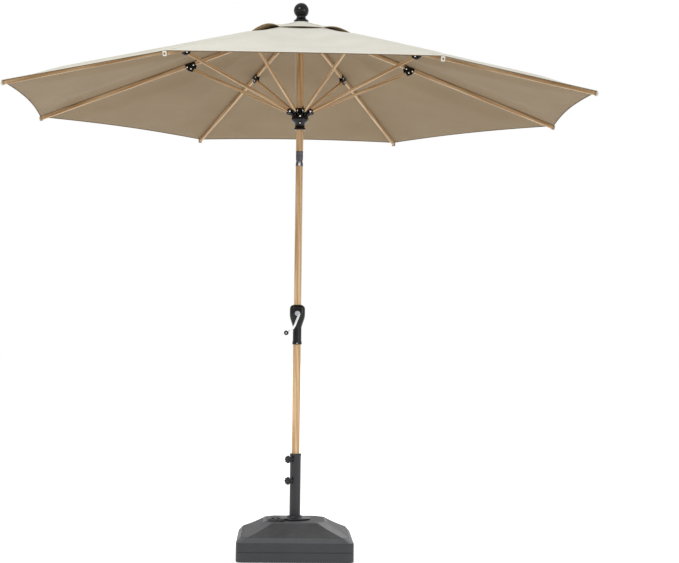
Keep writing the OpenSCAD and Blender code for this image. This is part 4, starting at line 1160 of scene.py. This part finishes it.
# A main share is cut as a triangle 1050 mm wide at the hem, and a vent share 191 mm wide.
MAIN_WIDTH, VENT_WIDTH = 2 * CANOPY_R * math.sin(HALF_PANEL) * MM, 2 * VENT_R_OUT * math.sin(HALF_PANEL) * MM
for k in range(1, RIBS + 1):
    hinge = (radial(k) @ np.array([CROWN_R, 0, CROWN_Z, 1]))[:3] * MM
    for tier, label, width, length, area in ((main_tier, "panel", MAIN_WIDTH, 1.361, 0.70),
                                             (vent_tier(k), "vent_flap", VENT_WIDTH, 0.236, 0.026)):
        parts = [(moved(s, radial(k)), finish) for s, finish in tier]
        gore = piece(f"canopy_{label}_{k}", parts, f"rib_{k}", [f"canopy_gore_{k}"], 50,
                     uv=True)
        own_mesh(gore)

# ---- Lift cord: the strands in the pole ride its bodies, and the strand outside the pole is left on no body ----

ROUND = circle(1.5, 12)


def strand(name, path, body):
    """A round line 3 mm thick along a path in the XZ plane."""
    line = sweep(np.array([(x, 0.0, z) for x, z in path]), ROUND, up=(0, 1, 0))
    return piece(name, [(line, LIFT_LINE)], body, (), 60, uv=True)


arc = [(-POLE_R + 7.5 * math.cos(a), PULLEY_Z + 7.5 * math.sin(a))
       for a in np.radians(np.arange(0, 181, 20))]
upper_inner = strand("lift_line_upper", [(-9, 1830), (-9, 2100), (-9, 2400)] + arc, "tilt_head")
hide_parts("lift_cord")
strand("lift_line_lower", [(-10.4, CRANK_Z), (-10.2, CRANK_Z + 12), (-9, CRANK_Z + 60), (-9, 1400),
                           (-9, 1775)], "upper_section")

outer_path = np.array([(-24.0, 0.0, z) for z in np.linspace(PULLEY_Z, 2041, 30)])
outer = piece("lift_line_outer", [(sweep(outer_path, ROUND, up=(0, 1, 0)), LIFT_LINE)], "tilt_head", (),
              60, uv=True)
outer.parent = None
del outer["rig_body"]
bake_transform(outer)

# ---- CAD nodes that stay, each with its own finish ----

for node, finish in (("crown_hub", GLOSS_BLACK), ("crown_hinge_pins", BRIGHT_STEEL),
                     ("cord_pulley", SPOOL_STEEL), ("cord_spool", SPOOL_STEEL), ("cap_seal", RUBBER),
                     ("upper_clamp_pad", BRIGHT_STEEL), ("lower_clamp_pad", BRIGHT_STEEL)):
    kept = frame["nodes"][node]
    kept.data.materials.clear()
    kept.data.materials.append(finish)

# ---- Floor and sky ----


def floor():
    """A wide pale sweep under the base, lit softly from within so that it stays as pale far off as near. It
    is not seen by diffuse rays, so that it does not light the canopy."""
    ring = np.column_stack([circle(60, 96), np.full(96, -0.0005)])
    mesh = bpy.data.meshes.new("floor")
    mesh.from_pydata(ring.tolist(), [], [list(range(96))])
    made, tree, shader = material("pale_lit_floor", Roughness=0.9, Specular_IOR_Level=0.1,
                                  Emission_Color=(1.0, 1.0, 1.0, 1.0), Emission_Strength=0.58)
    place = add(tree, "TexCoord", out="Object")
    cloud = add(tree, "TexNoise", {"Vector": place, "Scale": 0.8, "Detail": 2.0}, "Fac")
    paint = add(tree, "ValToRGB", {"Fac": cloud}, stops=[(0.3, "#ececea"), (0.7, "#f0f0ee")])
    dress(tree, shader, Base_Color=paint)
    mesh.materials.append(made)
    holder = bpy.data.objects.new("floor", mesh)
    bpy.context.scene.collection.objects.link(holder)
    holder.visible_diffuse = False


floor()
world = bpy.data.worlds.new("studio")
bpy.context.scene.world = world
world.use_nodes = True
sky = world.node_tree.nodes["Background"]
sky.inputs["Color"].default_value = (1.0, 1.0, 1.0, 1.0)
# The sweep behind is seen at full white, and lights the object more gently than that.
seen = add(world.node_tree, "LightPath", out="Is Camera Ray")
strength = add(world.node_tree, "MapRange", {"Value": seen, "To Min": 0.78, "To Max": 1.0})
world.node_tree.links.new(strength, sky.inputs["Strength"])

bpy.context.view_layer.update()
